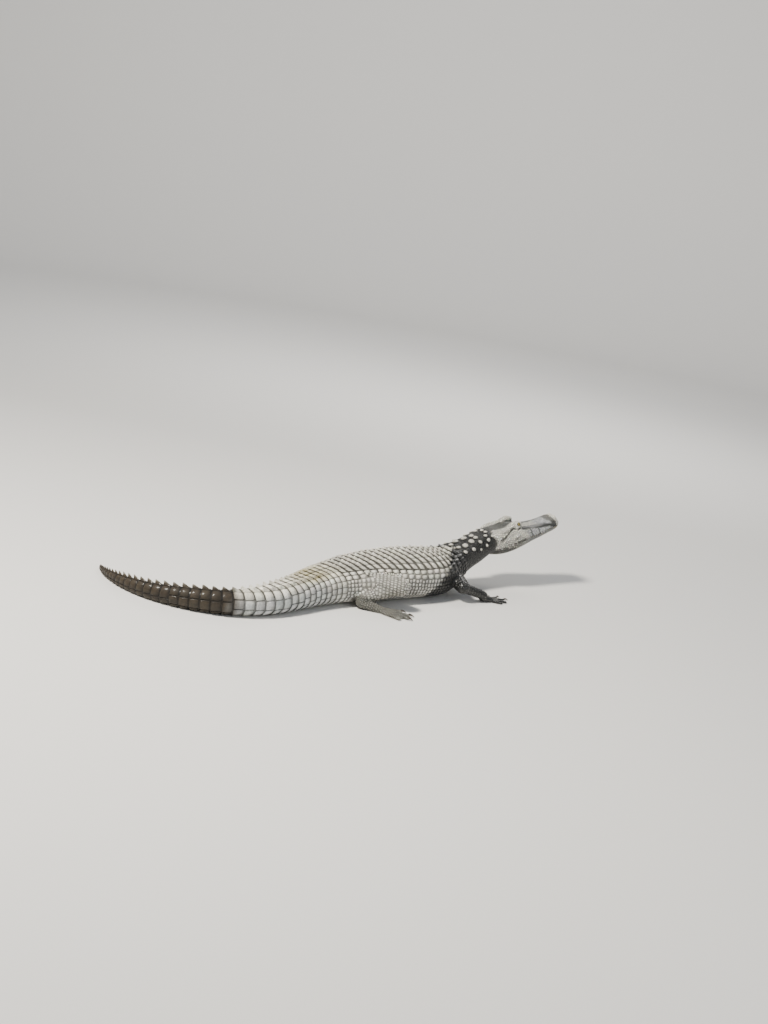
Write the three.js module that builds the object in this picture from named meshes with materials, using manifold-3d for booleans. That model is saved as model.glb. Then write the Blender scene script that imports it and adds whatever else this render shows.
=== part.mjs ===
import * as THREE from 'three';
import { mergeVertices } from 'three/addons/utils/BufferGeometryUtils.js';
import Module from 'manifold-3d';

const wasm = await Module();
wasm.setup();

// Driving dimensions, in millimetres and degrees. The animal lies on the floor z = 0, with
// the middle of its belly at the origin; x runs to the right and y away from the viewer.
const bodyLength = 2100;
const skullLength = 298;
const partGap = 0.35;
const bodyGap = 0.525; // between the body and the legs
const floorDip = 3;
const headPitch = 20;
const snoutHeight = 224;
const walkStep = 7;

// Heading of the midline, in degrees from +x, at shares of the body's length from the snout.
const headings = [
  [0, 35], [0.142, 40], [0.19, 46], [0.24, 46], [0.32, 41], [0.42, 43], [0.5, 50],
  [0.57, 58], [0.63, 55], [0.69, 34], [0.75, 8], [0.82, -13], [0.9, -40], [1, -72],
];

// Half width, top and underside of the body above the floor, at shares of its length.
const bodyStations = [
  { at: 0.125, half: 54, top: 219, low: 152 },
  { at: 0.15, half: 58, top: 211, low: 134 },
  { at: 0.17, half: 58, top: 199, low: 112 },
  { at: 0.19, half: 60, top: 185, low: 88 },
  { at: 0.21, half: 64, top: 171, low: 71 },
  { at: 0.23, half: 72, top: 160, low: 52 },
  { at: 0.25, half: 88, top: 151, low: 29 },
  { at: 0.27, half: 106, top: 147, low: 8 },
  { at: 0.29, half: 122, top: 147, low: -floorDip },
  { at: 0.34, half: 136, top: 147, low: -floorDip },
  { at: 0.41, half: 131, top: 138, low: -floorDip },
  { at: 0.47, half: 113, top: 127, low: -floorDip },
  { at: 0.51, half: 93, top: 119, low: -floorDip },
  { at: 0.56, half: 76, top: 109, low: -floorDip },
  { at: 0.63, half: 61, top: 98, low: -floorDip },
  { at: 0.7, half: 48, top: 86, low: -floorDip },
  { at: 0.8, half: 31, top: 66, low: -floorDip },
  { at: 0.9, half: 15, top: 42, low: -floorDip },
  { at: 0.97, half: 7, top: 21, low: -floorDip },
  { at: 1, half: 3.5, top: 9, low: -1 },
];

// Where the body is parted, as shares of its length.
const neckEnd = 0.232;
const trunkSplit = 0.365;
const trunkEnd = 0.51;
const bellyAt = 0.38;
const tailSplits = [0.6, 0.7, 0.8, 0.9];

// Scute rows across the back and whorls round the tail.
const neckRows = 3;
const trunkRows = 20;
const tailWhorls = 39;
const firstWhorl = 0.77;
const lastWhorl = 0.55;
const keelHeight = 5;
const crestHeight = 12;
const crestJoin = 0.74;
const keelSink = 0.5;
const lowShare = 0.15;

// Legs: lengths of the segments and the joints, along and across the body.
const hipAt = 0.478;
const shoulderAt = 0.256;
const legSides = [{ name: 'right', sign: -1 }, { name: 'left', sign: 1 }];

// Colours taken from dry and wet hide.
const hideColours = {
  head: 0x3a3b36, neck: 0x2b2c29, trunk: 0x9d9c90, tail: 0x6f716c, leg: 0x7c7d76, claw: 0x4a463d,
  eye: 0x1c1a10,
};

const dryRoughness = 0.7;
const hornRoughness = 0.4;
const wetRoughness = 0.15;

const radians = THREE.MathUtils.degToRad;
const clamp = THREE.MathUtils.clamp;
const blend = THREE.MathUtils.lerp;
const smoothstep = THREE.MathUtils.smoothstep;

// A smooth function through the given places and values.
function smoothThrough(places, values) {
  const interpolant = new THREE.CubicInterpolant(places, values, 1, [0]);
  const last = places.length - 1;
  return (at) => interpolant.evaluate(clamp(at, places[0], places[last]))[0];
}

const places = bodyStations.map((station) => station.at);
const halfWidth = smoothThrough(places, bodyStations.map((station) => station.half));
const topHeight = smoothThrough(places, bodyStations.map((station) => station.top));
const lowHeight = smoothThrough(places, bodyStations.map((station) => station.low));
const headingAt = smoothThrough(headings.map((row) => row[0]), headings.map((row) => radians(row[1])));

// The midline over the floor, walked from the snout back to the tail tip.
const midline = [new THREE.Vector3(0, 0, 0)];
const walkCount = Math.round(bodyLength / walkStep);
for (let step = 0; step < walkCount; step += 1) {
  const heading = headingAt((step + 0.5) / walkCount);
  const back = new THREE.Vector3(-Math.cos(heading), -Math.sin(heading), 0);
  midline.push(midline[step].clone().addScaledVector(back, bodyLength / walkCount));
}

// A point of the midline, at the middle of the body's height.
function middleAt(at) {
  const place = clamp(at, 0, 1) * walkCount;
  const step = Math.min(Math.floor(place), walkCount - 1);
  const point = midline[step].clone().lerp(midline[step + 1], place - step);
  point.z = (topHeight(at) + lowHeight(at)) / 2;
  return point;
}

// Forward, left and up at a place along the body.
function axesAt(at) {
  const near = 0.01;
  const forward = middleAt(at - near).sub(middleAt(at + near)).normalize();
  const left = new THREE.Vector3(0, 0, 1).cross(forward).normalize();
  const up = forward.clone().cross(left).normalize();
  return { forward, left, up };
}

function meshOf(geometry) {
  const plain = geometry.index ? geometry : geometry.clone();
  plain.deleteAttribute('normal');
  plain.deleteAttribute('uv');
  return mergeVertices(plain, 1e-4);
}

function solidOf(geometry) {
  const merged = meshOf(geometry);
  const vertProperties = Float32Array.from(merged.attributes.position.array);
  const triVerts = Uint32Array.from(merged.index.array);
  return new wasm.Manifold(new wasm.Mesh({ numProp: 3, vertProperties, triVerts }));
}

// A closed cylinder of rings, each vertex moved to where place(turn, run, radius) says:
// turn counts the ring's corners, run goes from 0 to 1 and radius is 0 at the cap's middle.
function loft(corners, rings, place) {
  const geometry = new THREE.CylinderGeometry(1, 1, 1, corners, rings - 1);
  const spots = geometry.attributes.position;
  const point = new THREE.Vector3();
  for (let index = 0; index < spots.count; index += 1) {
    point.fromBufferAttribute(spots, index);
    const radius = Math.round(Math.hypot(point.x, point.z));
    const angle = Math.atan2(point.x, point.z) / (2 * Math.PI);
    const turn = (Math.round(angle * corners) + corners) % corners;
    const run = Math.round((0.5 - point.y) * (rings - 1));
    const moved = place(turn, run, radius);
    spots.setXYZ(index, moved.x, moved.y, moved.z);
  }
  return solidOf(geometry);
}

// Corners of half a section, from the middle of the back to the middle of the belly: the
// upper ones by their share of the half width, the lower ones by their turn in degrees.
const trunkSection = [
  { across: 0, kind: 'middle' }, { across: 0.13, kind: 'inner' }, { across: 0.27, kind: 'groove' },
  { across: 0.42, kind: 'crest' }, { across: 0.57, kind: 'groove' }, { across: 0.72, kind: 'outer' },
  { across: 0.87, kind: 'groove' }, { turn: 97 }, { turn: 130 }, { turn: 180 },
];
const tailSection = [
  { across: 0, kind: 'middle' }, { across: 0.16, kind: 'groove' }, { across: 0.38, kind: 'crest' },
  { across: 0.68, kind: 'groove' }, { turn: 92 }, { turn: 132 }, { turn: 180 },
];

// Rings of the body: a low ring at each row's front and a high one near its rear.
function rowEdges(start, end, lengths) {
  const whole = lengths.reduce((sum, length) => sum + length, 0);
  const edges = [start];
  for (const length of lengths) {
    edges.push(edges[edges.length - 1] + (end - start) * length / whole);
  }
  return edges;
}
function evenRows(count) {
  return Array(count).fill(1);
}
// The whorls are longest before the tail's middle.
function whorlLengths() {
  return evenRows(tailWhorls).map((even, row) => {
    const share = row / (tailWhorls - 1);
    const growing = blend(firstWhorl, even, smoothstep(share, 0, 0.42));
    return growing * blend(even, lastWhorl, smoothstep(share, 0.5, 1));
  });
}
function ringsOver(edges, peakShare) {
  const rings = [];
  for (let row = 0; row < edges.length - 1; row += 1) {
    rings.push({ at: edges[row], high: false });
    rings.push({ at: blend(edges[row], edges[row + 1], peakShare), high: true });
  }
  rings.push({ at: edges[edges.length - 1], high: false });
  return rings;
}
const trunkEdges = [
  ...rowEdges(places[0], neckEnd, evenRows(neckRows)),
  ...rowEdges(neckEnd, trunkEnd, evenRows(trunkRows)).slice(1),
];
const tailEdges = rowEdges(trunkEnd, 1, whorlLengths());
const overrun = 0.01;
const trunkRings = [...ringsOver(trunkEdges, 0.72), { at: trunkEnd + overrun, high: false }];
const tailRings = [{ at: trunkEnd - overrun, high: false }, ...ringsOver(tailEdges, 0.8)];

// Height of the scutes' keels over the plain surface, by place and corner.
function keelRise(at, kind) {
  const onNeck = smoothstep(at, 0.14, 0.18);
  const onTail = smoothstep(at, trunkEnd - 0.02, 0.6);
  const tip = 1 - smoothstep(at, 0.9, 1);
  const paired = 1 - smoothstep(at, crestJoin - 0.03, crestJoin + 0.03);
  if (kind === 'crest') {
    return onNeck * blend(keelHeight, crestHeight * tip, onTail) * blend(1, paired, onTail);
  }
  if (kind === 'middle') {
    return crestHeight * tip * (1 - paired);
  }
  return kind === 'groove' ? 0 : onNeck * keelHeight * (1 - onTail);
}

// A point of the body's surface at a ring and a corner, larger all round by grow.
function bodyPoint(ring, corner, side, radius, grow) {
  const { left, up } = axesAt(ring.at);
  const half = halfWidth(ring.at);
  const tall = (topHeight(ring.at) - lowHeight(ring.at)) / 2;
  const square = blend(2.5, 2, smoothstep(ring.at, 0.5, 0.7));
  let across;
  let high;
  let rise = 0;
  if (corner.kind) {
    across = corner.across;
    high = (1 - across ** square) ** (1 / square);
    high -= keelRise(ring.at, 'crest') * keelSink / tall * (1 - across);
    rise = keelRise(ring.at, corner.kind) * (ring.high ? 1 : lowShare);
  } else {
    const angle = radians(corner.turn);
    across = Math.abs(Math.sin(angle)) ** (2 / square);
    high = -(Math.abs(Math.cos(angle)) ** (2 / square));
  }
  const outward = new THREE.Vector2(across * half, high * tall);
  const length = Math.max(outward.length(), 0.01);
  outward.multiplyScalar((length + rise + grow) / length * radius);
  const point = middleAt(ring.at).addScaledVector(left, side * outward.x);
  return point.addScaledVector(up, outward.y);
}

function bodyLoft(section, rings, grow) {
  const half = section.length - 1;
  return loft(2 * half, rings.length, (turn, run, radius) => {
    const mirrored = turn > half;
    const corner = section[mirrored ? 2 * half - turn : turn];
    return bodyPoint(rings[run], corner, mirrored ? 1 : -1, radius, grow);
  });
}

// The head's frame: back from the snout tip, out to the left and up from the jaw's underside.
const headForward = new THREE.Vector3(
  Math.cos(radians(headings[0][1])) * Math.cos(radians(headPitch)),
  Math.sin(radians(headings[0][1])) * Math.cos(radians(headPitch)),
  Math.sin(radians(headPitch)),
);
const headLeft = new THREE.Vector3(0, 0, 1).cross(headForward).normalize();
const headUp = headForward.clone().cross(headLeft).normalize();
const snoutFoot = new THREE.Vector3(0, 0, snoutHeight);

function headPoint(back, out, up) {
  return snoutFoot.clone().addScaledVector(headForward, -back * skullLength)
    .addScaledVector(headLeft, out * skullLength).addScaledVector(headUp, up * skullLength);
}

// Head profiles in shares of the skull's length, at shares of it back from the snout tip.
const headStations = [
  { at: 0, cheek: 0.05, table: 0.03, top: 0.118, lip: 0.078, jaw: 0.05 },
  { at: 0.02, cheek: 0.1, table: 0.06, top: 0.14, lip: 0.068, jaw: 0.035 },
  { at: 0.06, cheek: 0.14, table: 0.085, top: 0.153, lip: 0.06, jaw: 0.022 },
  { at: 0.13, cheek: 0.165, table: 0.1, top: 0.146, lip: 0.064, jaw: 0.012 },
  { at: 0.22, cheek: 0.172, table: 0.105, top: 0.141, lip: 0.07, jaw: 0.006 },
  { at: 0.34, cheek: 0.182, table: 0.115, top: 0.152, lip: 0.058, jaw: 0 },
  { at: 0.46, cheek: 0.196, table: 0.125, top: 0.175, lip: 0.068, jaw: -0.002 },
  { at: 0.56, cheek: 0.212, table: 0.13, top: 0.205, lip: 0.078, jaw: -0.006 },
  { at: 0.64, cheek: 0.226, table: 0.135, top: 0.25, lip: 0.082, jaw: -0.01 },
  { at: 0.72, cheek: 0.238, table: 0.15, top: 0.283, lip: 0.09, jaw: -0.012 },
  { at: 0.82, cheek: 0.248, table: 0.165, top: 0.295, lip: 0.105, jaw: -0.012 },
  { at: 0.92, cheek: 0.252, table: 0.175, top: 0.298, lip: 0.125, jaw: -0.006 },
  { at: 1.0, cheek: 0.24, table: 0.175, top: 0.29, lip: 0.135, jaw: 0.005 },
  { at: 1.07, cheek: 0.222, table: 0.15, top: 0.26, lip: 0.135, jaw: 0.018 },
  { at: 1.13, cheek: 0.19, table: 0.12, top: 0.22, lip: 0.125, jaw: 0.035 },
];
const headPlaces = headStations.map((station) => station.at);
const headProfile = (name) => smoothThrough(headPlaces, headStations.map((station) => station[name]));
const cheekHalf = headProfile('cheek');
const tableHalf = headProfile('table');
const headTop = headProfile('top');
const lipLine = headProfile('lip');
const jawLow = headProfile('jaw');

// Half sections from the middle of the top, round the side, to the middle of the underside.
function upperHeadSection(at) {
  const cheek = cheekHalf(at);
  const table = tableHalf(at);
  const top = headTop(at);
  const lip = lipLine(at);
  const tall = top - lip;
  return [
    [0, top], [table, top - tall * 0.04], [blend(table, cheek, 0.55), top - tall * 0.3],
    [cheek, lip + tall * 0.36], [cheek * 1.005, lip + tall * 0.1], [cheek * 0.93, lip], [0, lip],
  ];
}
function lowerJawSection(at) {
  const cheek = cheekHalf(at) * 0.95;
  const low = jawLow(at);
  const lip = lipLine(at);
  const tall = lip - low;
  return [
    [0, lip], [cheek * 0.95, lip], [cheek, lip - tall * 0.35],
    [cheek * 0.93, low + tall * 0.2], [cheek * 0.72, low], [0, low],
  ];
}

// A length of the head lofted from its half sections, larger all round by grow in millimetres.
function headLoft(section, stops, grow, lift) {
  const half = section(0).length - 1;
  const corners = 2 * half;
  return loft(corners, stops.length, (turn, run, radius) => {
    const outline = section(stops[run]);
    const mirrored = turn > half;
    const [out, up] = outline[mirrored ? corners - turn : turn];
    const middleUp = (outline[0][1] + outline[half][1]) / 2;
    const arm = new THREE.Vector2(out, up - middleUp);
    const length = Math.max(arm.length(), 1e-4);
    arm.multiplyScalar((length + grow / skullLength) / length * radius);
    const ends = (run === 0 ? -grow : 0) + (run === stops.length - 1 ? grow : 0);
    const side = mirrored ? 1 : -1;
    return headPoint(stops[run] + ends / skullLength, side * arm.x, middleUp + arm.y + lift / skullLength);
  });
}
function stopsBetween(start, end, count) {
  const stops = [];
  for (let stop = 0; stop <= count; stop += 1) {
    stops.push(blend(start, end, stop / count));
  }
  return stops;
}
const snoutStops = [0, 0.008, 0.022, 0.045, 0.08];
const upperStops = [...snoutStops, ...stopsBetween(0.14, 0.99, 9)];
const jawStops = [0.01, 0.018, 0.032, 0.055, 0.09, ...stopsBetween(0.14, 0.99, 9), 1.06, 1.12];

function ellipsoid(centre, radii, grow, across, around) {
  const geometry = new THREE.SphereGeometry(1, across, around);
  const turned = new THREE.Matrix4().makeBasis(headForward, headLeft, headUp);
  const sized = new THREE.Matrix4().makeScale(...radii.map((radius) => radius * skullLength + grow));
  geometry.applyMatrix4(sized);
  geometry.applyMatrix4(turned);
  geometry.translate(centre.x, centre.y, centre.z);
  return solidOf(geometry);
}

// The skull with its raised eyelids and nostrils, and the two sockets cut for the eyes.
const eyeBack = 0.665;
const eyeOut = 0.127;
const eyeUp = 0.279;
const eyeRadius = 0.041;
const lidBack = 0.7;
const lidOut = 0.106;
const lidUp = 0.27;
const lidRadii = [0.115, 0.06, 0.056];
const nostrilBack = 0.055;
const nostrilOut = 0.038;
const nostrilUp = 0.142;
const nostrilRadii = [0.036, 0.034, 0.026];
function upperHeadSolid(grow) {
  let solid = headLoft(upperHeadSection, upperStops, grow, partGap);
  for (const side of [-1, 1]) {
    const lid = ellipsoid(headPoint(lidBack, side * lidOut, lidUp), lidRadii, grow, 8, 6);
    const nostrilSpot = headPoint(nostrilBack, side * nostrilOut, nostrilUp);
    const nostril = ellipsoid(nostrilSpot, nostrilRadii, grow, 6, 4);
    solid = solid.add(lid).add(nostril);
  }
  return solid;
}
function eyeSolid(side, grow) {
  const centre = headPoint(eyeBack, side * eyeOut, eyeUp);
  return ellipsoid(centre, [eyeRadius, eyeRadius, eyeRadius], grow, 10, 6);
}
function lowerJawSolid(grow) {
  return headLoft(lowerJawSection, jawStops, grow, -partGap);
}

// A rounded bone shape from one point to another, flattened by the given share.
function limb(from, to, startRadius, endRadius, grow, flat = 1, corners = 8, capSteps = 2) {
  const length = from.distanceTo(to);
  const profile = [];
  for (let step = 0; step <= capSteps; step += 1) {
    const angle = Math.PI / 2 * step / capSteps;
    const radius = startRadius + grow;
    profile.push(new THREE.Vector2(radius * Math.sin(angle), -radius * Math.cos(angle)));
  }
  for (let step = 0; step <= capSteps; step += 1) {
    const angle = Math.PI / 2 * step / capSteps;
    const radius = endRadius + grow;
    profile.push(new THREE.Vector2(radius * Math.cos(angle), length + radius * Math.sin(angle)));
  }
  profile[0].x = 0;
  profile[profile.length - 1].x = 0;
  const geometry = new THREE.LatheGeometry(profile, corners);
  const along = to.clone().sub(from).normalize();
  const sideways = new THREE.Vector3(0, 0, 1).cross(along).normalize();
  const over = sideways.clone().cross(along).normalize().negate();
  geometry.scale(1, 1, flat);
  geometry.applyMatrix4(new THREE.Matrix4().makeBasis(sideways, along, over.negate()));
  geometry.translate(from.x, from.y, from.z);
  return solidOf(geometry);
}

// A flat slab under the floor trims what dips below it.
const floorSlab = { size: 4000, thick: 200, x: -700, y: -500 };
const floorBox = solidOf(
  new THREE.BoxGeometry(floorSlab.size, floorSlab.size, floorSlab.thick)
    .translate(floorSlab.x, floorSlab.y, -floorSlab.thick / 2),
);
const aboveFloor = (solid) => solid.subtract(floorBox);

// A bent box that keeps one stretch of the body, half a part gap short at both ends.
function bodyStretch(from, to) {
  const reach = { side: 30, above: 300, stepShare: 0.02 };
  const steps = Math.max(3, Math.round((to - from) / reach.stepShare));
  return loft(4, steps + 1, (turn, run, radius) => {
    const at = blend(from, to, run / steps);
    const { left, forward } = axesAt(at);
    const side = turn === 0 || turn === 3 ? 1 : -1;
    const high = turn < 2 ? 1 : -1;
    const inward = (run === 0 ? -1 : 0) + (run === steps ? 1 : 0);
    const point = middleAt(at).addScaledVector(forward, inward * partGap / 2);
    point.z = topHeight(at) / 2 + radius * high * reach.above;
    return point.addScaledVector(left, radius * side * (halfWidth(at) + reach.side));
  });
}

const frontBody = aboveFloor(bodyLoft(trunkSection, trunkRings, 0));
const tailBody = aboveFloor(bodyLoft(tailSection, tailRings, 0));
const frontShell = bodyLoft(trunkSection, trunkRings, bodyGap);
const bodyShell = frontShell.add(bodyLoft(tailSection, tailRings, bodyGap));
const upperHead = upperHeadSolid(0).subtract(eyeSolid(-1, partGap)).subtract(eyeSolid(1, partGap));
const lowerJaw = lowerJawSolid(0);
const headShell = upperHeadSolid(partGap).add(lowerJawSolid(partGap));

const model = new THREE.Group();
function addPart(name, solid, colour, roughness = dryRoughness) {
  const { vertProperties, triVerts } = solid.getMesh();
  const geometry = new THREE.BufferGeometry();
  geometry.setAttribute('position', new THREE.BufferAttribute(Float32Array.from(vertProperties), 3));
  geometry.setIndex(new THREE.BufferAttribute(Uint32Array.from(triVerts), 1));
  geometry.computeVertexNormals();
  const material = new THREE.MeshStandardMaterial({ color: colour, roughness, metalness: 0 });
  const mesh = new THREE.Mesh(geometry, material);
  mesh.name = name;
  model.add(mesh);
}

addPart('head_upper', upperHead, hideColours.head);
addPart('lower_jaw', lowerJaw, hideColours.head);
addPart('eye_right', eyeSolid(-1, 0), hideColours.eye, wetRoughness);
addPart('eye_left', eyeSolid(1, 0), hideColours.eye, wetRoughness);

// Neck, trunk and tail: one body, parted by cuts one part gap wide.
const cuts = [places[0] - 0.01, neckEnd, trunkSplit, trunkEnd, ...tailSplits, 1.01];
const stretchNames = [
  'neck', 'trunk_front', 'trunk_rear',
  'tail_base', 'tail_mid_front', 'tail_mid_rear', 'tail_rear', 'tail_tip',
];
stretchNames.forEach((name, index) => {
  const keep = bodyStretch(cuts[index], cuts[index + 1]);
  const place = name.split('_')[0];
  let solid = (place === 'tail' ? tailBody : frontBody).intersect(keep);
  if (name === 'neck') {
    solid = solid.subtract(headShell);
  }
  addPart(name, solid, hideColours[place]);
});

// A point beside the midline, out to one side and up from the floor.
function besideBody(at, side, out, up) {
  const point = middleAt(at).addScaledVector(axesAt(at).left, side * out);
  point.z = up;
  return point;
}
function turnedFrom(point, heading, distance, height) {
  const ahead = new THREE.Vector3(Math.cos(heading), Math.sin(heading), 0);
  const moved = point.clone().addScaledVector(ahead, distance);
  moved.z = height;
  return moved;
}

// One leg: upper and lower segments, a foot with its toes, and claws on three of them.
// Turns are degrees outward from the body's heading. The two sides rest a little apart.
const hindLeg = {
  name: 'hind', at: hipAt, out: 58, up: 74, upper: 156, lower: 130,
  radii: [46, 37, 27, 21], palm: 72, palmRadius: 23,
  toes: [-26, -8, 10, 27], toeLengths: [60, 78, 80, 66],
  toeRadius: 10, web: 0.78, clawed: 3,
  right: { kneeTurn: 45, kneeUp: 82, ankleTurn: 203, ankleUp: 34, footTurn: 54 },
  left: { kneeTurn: 32, kneeUp: 62, ankleTurn: 186, ankleUp: 32, footTurn: 30 },
};
const foreLeg = {
  name: 'fore', at: shoulderAt, out: 52, up: 74, upper: 96, lower: 90,
  radii: [34, 27, 22, 17], palm: 40, palmRadius: 18,
  toes: [-52, -26, -3, 20, 44], toeLengths: [34, 46, 48, 42, 32],
  toeRadius: 8, web: 0, clawed: 3,
  right: { kneeTurn: 108, kneeUp: 52, ankleTurn: 16, ankleUp: 25, footTurn: 12 },
  left: { kneeTurn: 118, kneeUp: 52, ankleTurn: 4, ankleUp: 25, footTurn: 16 },
};
const clawPlan = { length: 19, radius: 0.46, up: 0.72, tipUp: 1.6, buried: 2, corners: 6 };
const footShape = { taper: 0.8, flat: 0.72, toeSpread: 2.4, toeUp: 0.8, toeTipUp: 0.55, webThick: 5 };

function addLeg(leg, side) {
  const base = axesAt(leg.at).forward;
  const heading = Math.atan2(base.y, base.x);
  const outward = (degrees) => heading + side.sign * radians(degrees);
  const pose = leg[side.name];
  const root = besideBody(leg.at, side.sign, leg.out, leg.up);
  const knee = turnedFrom(root, outward(pose.kneeTurn), leg.upper, pose.kneeUp);
  const ankle = turnedFrom(knee, outward(pose.ankleTurn), leg.lower, pose.ankleUp);
  const footHeading = outward(pose.footTurn);
  const knuckle = turnedFrom(ankle, footHeading, leg.palm, leg.toeRadius * footShape.toeUp);
  const [rootRadius, kneeRadius, shinRadius, ankleRadius] = leg.radii;
  const upper = (grow) => limb(root, knee, rootRadius, kneeRadius, grow, 0.9);
  const lower = (grow) => limb(knee, ankle, shinRadius, ankleRadius, grow, 0.95);
  const footRoot = ankle.clone();
  footRoot.z = leg.palmRadius * footShape.taper;
  let foot = limb(footRoot, knuckle, leg.palmRadius, leg.palmRadius * footShape.taper, 0, footShape.flat);
  const claws = [];
  leg.toes.forEach((turn, index) => {
    const toeHeading = footHeading + side.sign * radians(turn);
    const spread = footHeading + side.sign * radians(turn * footShape.toeSpread);
    const rootOut = leg.palmRadius * footShape.flat;
    const start = turnedFrom(knuckle, spread, rootOut, leg.toeRadius * footShape.toeUp);
    const end = turnedFrom(start, toeHeading, leg.toeLengths[index], leg.toeRadius * footShape.toeTipUp);
    foot = foot.add(toeShape(leg, start, end, 0));
    if (index < leg.clawed) {
      const reach = leg.toeLengths[index] - clawPlan.buried;
      const clawRoot = turnedFrom(start, toeHeading, reach, leg.toeRadius * clawPlan.up);
      claws.push({ root: clawRoot, heading: toeHeading, start, end });
    }
  });
  if (leg.web > 0) {
    foot = foot.add(webSolid(leg, side, knuckle, footHeading));
  }
  const stem = `${side.name}_${leg.name}`;
  const upperSolid = aboveFloor(upper(0)).subtract(bodyShell);
  const lowerSolid = aboveFloor(lower(0)).subtract(upper(partGap)).subtract(bodyShell);
  const footSolid = aboveFloor(foot).subtract(lower(partGap)).subtract(upper(partGap)).subtract(bodyShell);
  addPart(`${stem}_upper_leg`, upperSolid, hideColours.leg);
  addPart(`${stem}_lower_leg`, lowerSolid, hideColours.leg);
  addPart(`${stem}_foot`, footSolid, hideColours.leg);
  claws.forEach((claw, index) => {
    const toeShell = toeShape(leg, claw.start, claw.end, partGap);
    const solid = clawSolid(claw, leg).subtract(toeShell);
    addPart(`${stem}_claw_${index + 1}`, solid, hideColours.claw, hornRoughness);
  });
}

function toeShape(leg, start, end, grow) {
  return limb(start, end, leg.toeRadius, leg.toeRadius * 0.62, grow, 0.85, 5, 1);
}

// A thin web that fans out between the toes.
function webSolid(leg, side, knuckle, footHeading) {
  const outline = new THREE.Shape();
  outline.moveTo(-leg.palmRadius * 0.4, 0);
  leg.toes.forEach((turn, index) => {
    const angle = side.sign * radians(turn);
    const reach = leg.palmRadius + leg.toeLengths[index] * leg.web;
    outline.lineTo(reach * Math.cos(angle), reach * Math.sin(angle));
  });
  outline.closePath();
  const geometry = new THREE.ExtrudeGeometry(outline, { depth: footShape.webThick, bevelEnabled: false });
  geometry.rotateZ(footHeading);
  geometry.translate(knuckle.x, knuckle.y, 0);
  return solidOf(geometry);
}

// A tapered claw that points along its toe and a little down.
function clawSolid(claw, leg) {
  const from = claw.root;
  const tip = turnedFrom(from, claw.heading, clawPlan.length, clawPlan.tipUp);
  const length = from.distanceTo(tip);
  const geometry = new THREE.ConeGeometry(leg.toeRadius * clawPlan.radius, length, clawPlan.corners, 1);
  geometry.translate(0, length / 2, 0);
  const along = tip.clone().sub(from).normalize();
  const sideways = new THREE.Vector3(0, 0, 1).cross(along).normalize();
  const over = sideways.clone().cross(along);
  geometry.applyMatrix4(new THREE.Matrix4().makeBasis(sideways, along, over));
  geometry.translate(from.x, from.y, from.z);
  return solidOf(geometry);
}

for (const side of legSides) {
  addLeg(foreLeg, side);
  addLeg(hindLeg, side);
}

// The middle of the belly's flat is the origin.
const belly = middleAt(bellyAt);
model.position.set(-belly.x, -belly.y, 0);

export default model;
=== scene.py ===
import math

import bmesh
import bpy
import numpy as np
from mathutils import Matrix, Vector
from mathutils.bvhtree import BVHTree
from mathutils.kdtree import KDTree


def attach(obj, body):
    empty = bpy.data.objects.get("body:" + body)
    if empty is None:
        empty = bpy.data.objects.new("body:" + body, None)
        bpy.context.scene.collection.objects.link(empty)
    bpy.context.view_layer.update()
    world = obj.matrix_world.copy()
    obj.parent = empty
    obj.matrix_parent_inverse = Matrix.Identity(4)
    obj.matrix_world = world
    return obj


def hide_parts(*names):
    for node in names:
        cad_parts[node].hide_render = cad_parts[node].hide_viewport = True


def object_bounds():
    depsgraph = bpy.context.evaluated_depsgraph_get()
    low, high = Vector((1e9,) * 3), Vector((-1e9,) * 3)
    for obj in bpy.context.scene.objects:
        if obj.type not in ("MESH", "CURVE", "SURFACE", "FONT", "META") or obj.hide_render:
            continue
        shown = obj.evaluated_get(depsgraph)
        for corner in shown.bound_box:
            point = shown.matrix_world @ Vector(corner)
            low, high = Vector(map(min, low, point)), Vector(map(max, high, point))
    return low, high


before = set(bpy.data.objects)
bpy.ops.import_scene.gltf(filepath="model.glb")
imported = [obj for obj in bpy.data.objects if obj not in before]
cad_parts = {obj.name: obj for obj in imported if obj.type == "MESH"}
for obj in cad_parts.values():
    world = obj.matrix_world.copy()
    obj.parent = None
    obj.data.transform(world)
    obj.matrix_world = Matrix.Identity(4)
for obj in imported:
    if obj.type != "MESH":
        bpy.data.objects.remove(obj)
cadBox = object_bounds()
print("frame loaded")

# The body's plan: shares of its length from the snout, then metres and degrees.
bodyPlan = {
    "length": 2.1,
    "steps": 300,
    "headings": [
        (0, 35), (0.142, 40), (0.19, 46), (0.24, 46), (0.32, 41), (0.42, 43), (0.5, 50),
        (0.57, 58), (0.63, 55), (0.69, 34), (0.75, 8), (0.82, -13), (0.9, -40), (1, -72),
    ],
    # share, half width, top, underside
    "stations": [
        (0.125, 0.054, 0.219, 0.152), (0.15, 0.058, 0.211, 0.134), (0.17, 0.058, 0.199, 0.112),
        (0.19, 0.06, 0.185, 0.088), (0.21, 0.064, 0.171, 0.071), (0.23, 0.072, 0.16, 0.052),
        (0.25, 0.088, 0.151, 0.029), (0.27, 0.106, 0.147, 0.008), (0.29, 0.122, 0.147, -0.003),
        (0.34, 0.136, 0.147, -0.003), (0.41, 0.131, 0.138, -0.003), (0.47, 0.113, 0.127, -0.003),
        (0.51, 0.093, 0.119, -0.003), (0.56, 0.076, 0.109, -0.003), (0.63, 0.061, 0.098, -0.003),
        (0.7, 0.048, 0.086, -0.003), (0.8, 0.031, 0.066, -0.003), (0.9, 0.015, 0.042, -0.003),
        (0.97, 0.007, 0.021, -0.003), (1, 0.0035, 0.009, -0.001),
    ],
    "belly": 0.38,
    "neckEnd": 0.232,
    "trunkEnd": 0.51,
    "crestJoin": 0.74,
    "keel": 0.005,
    "crest": 0.012,
    "crestSink": 0.5,
    "trunkRows": 20,
    "tailWhorls": 39,
    "firstWhorl": 0.77,
    "lastWhorl": 0.55,
}


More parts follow.
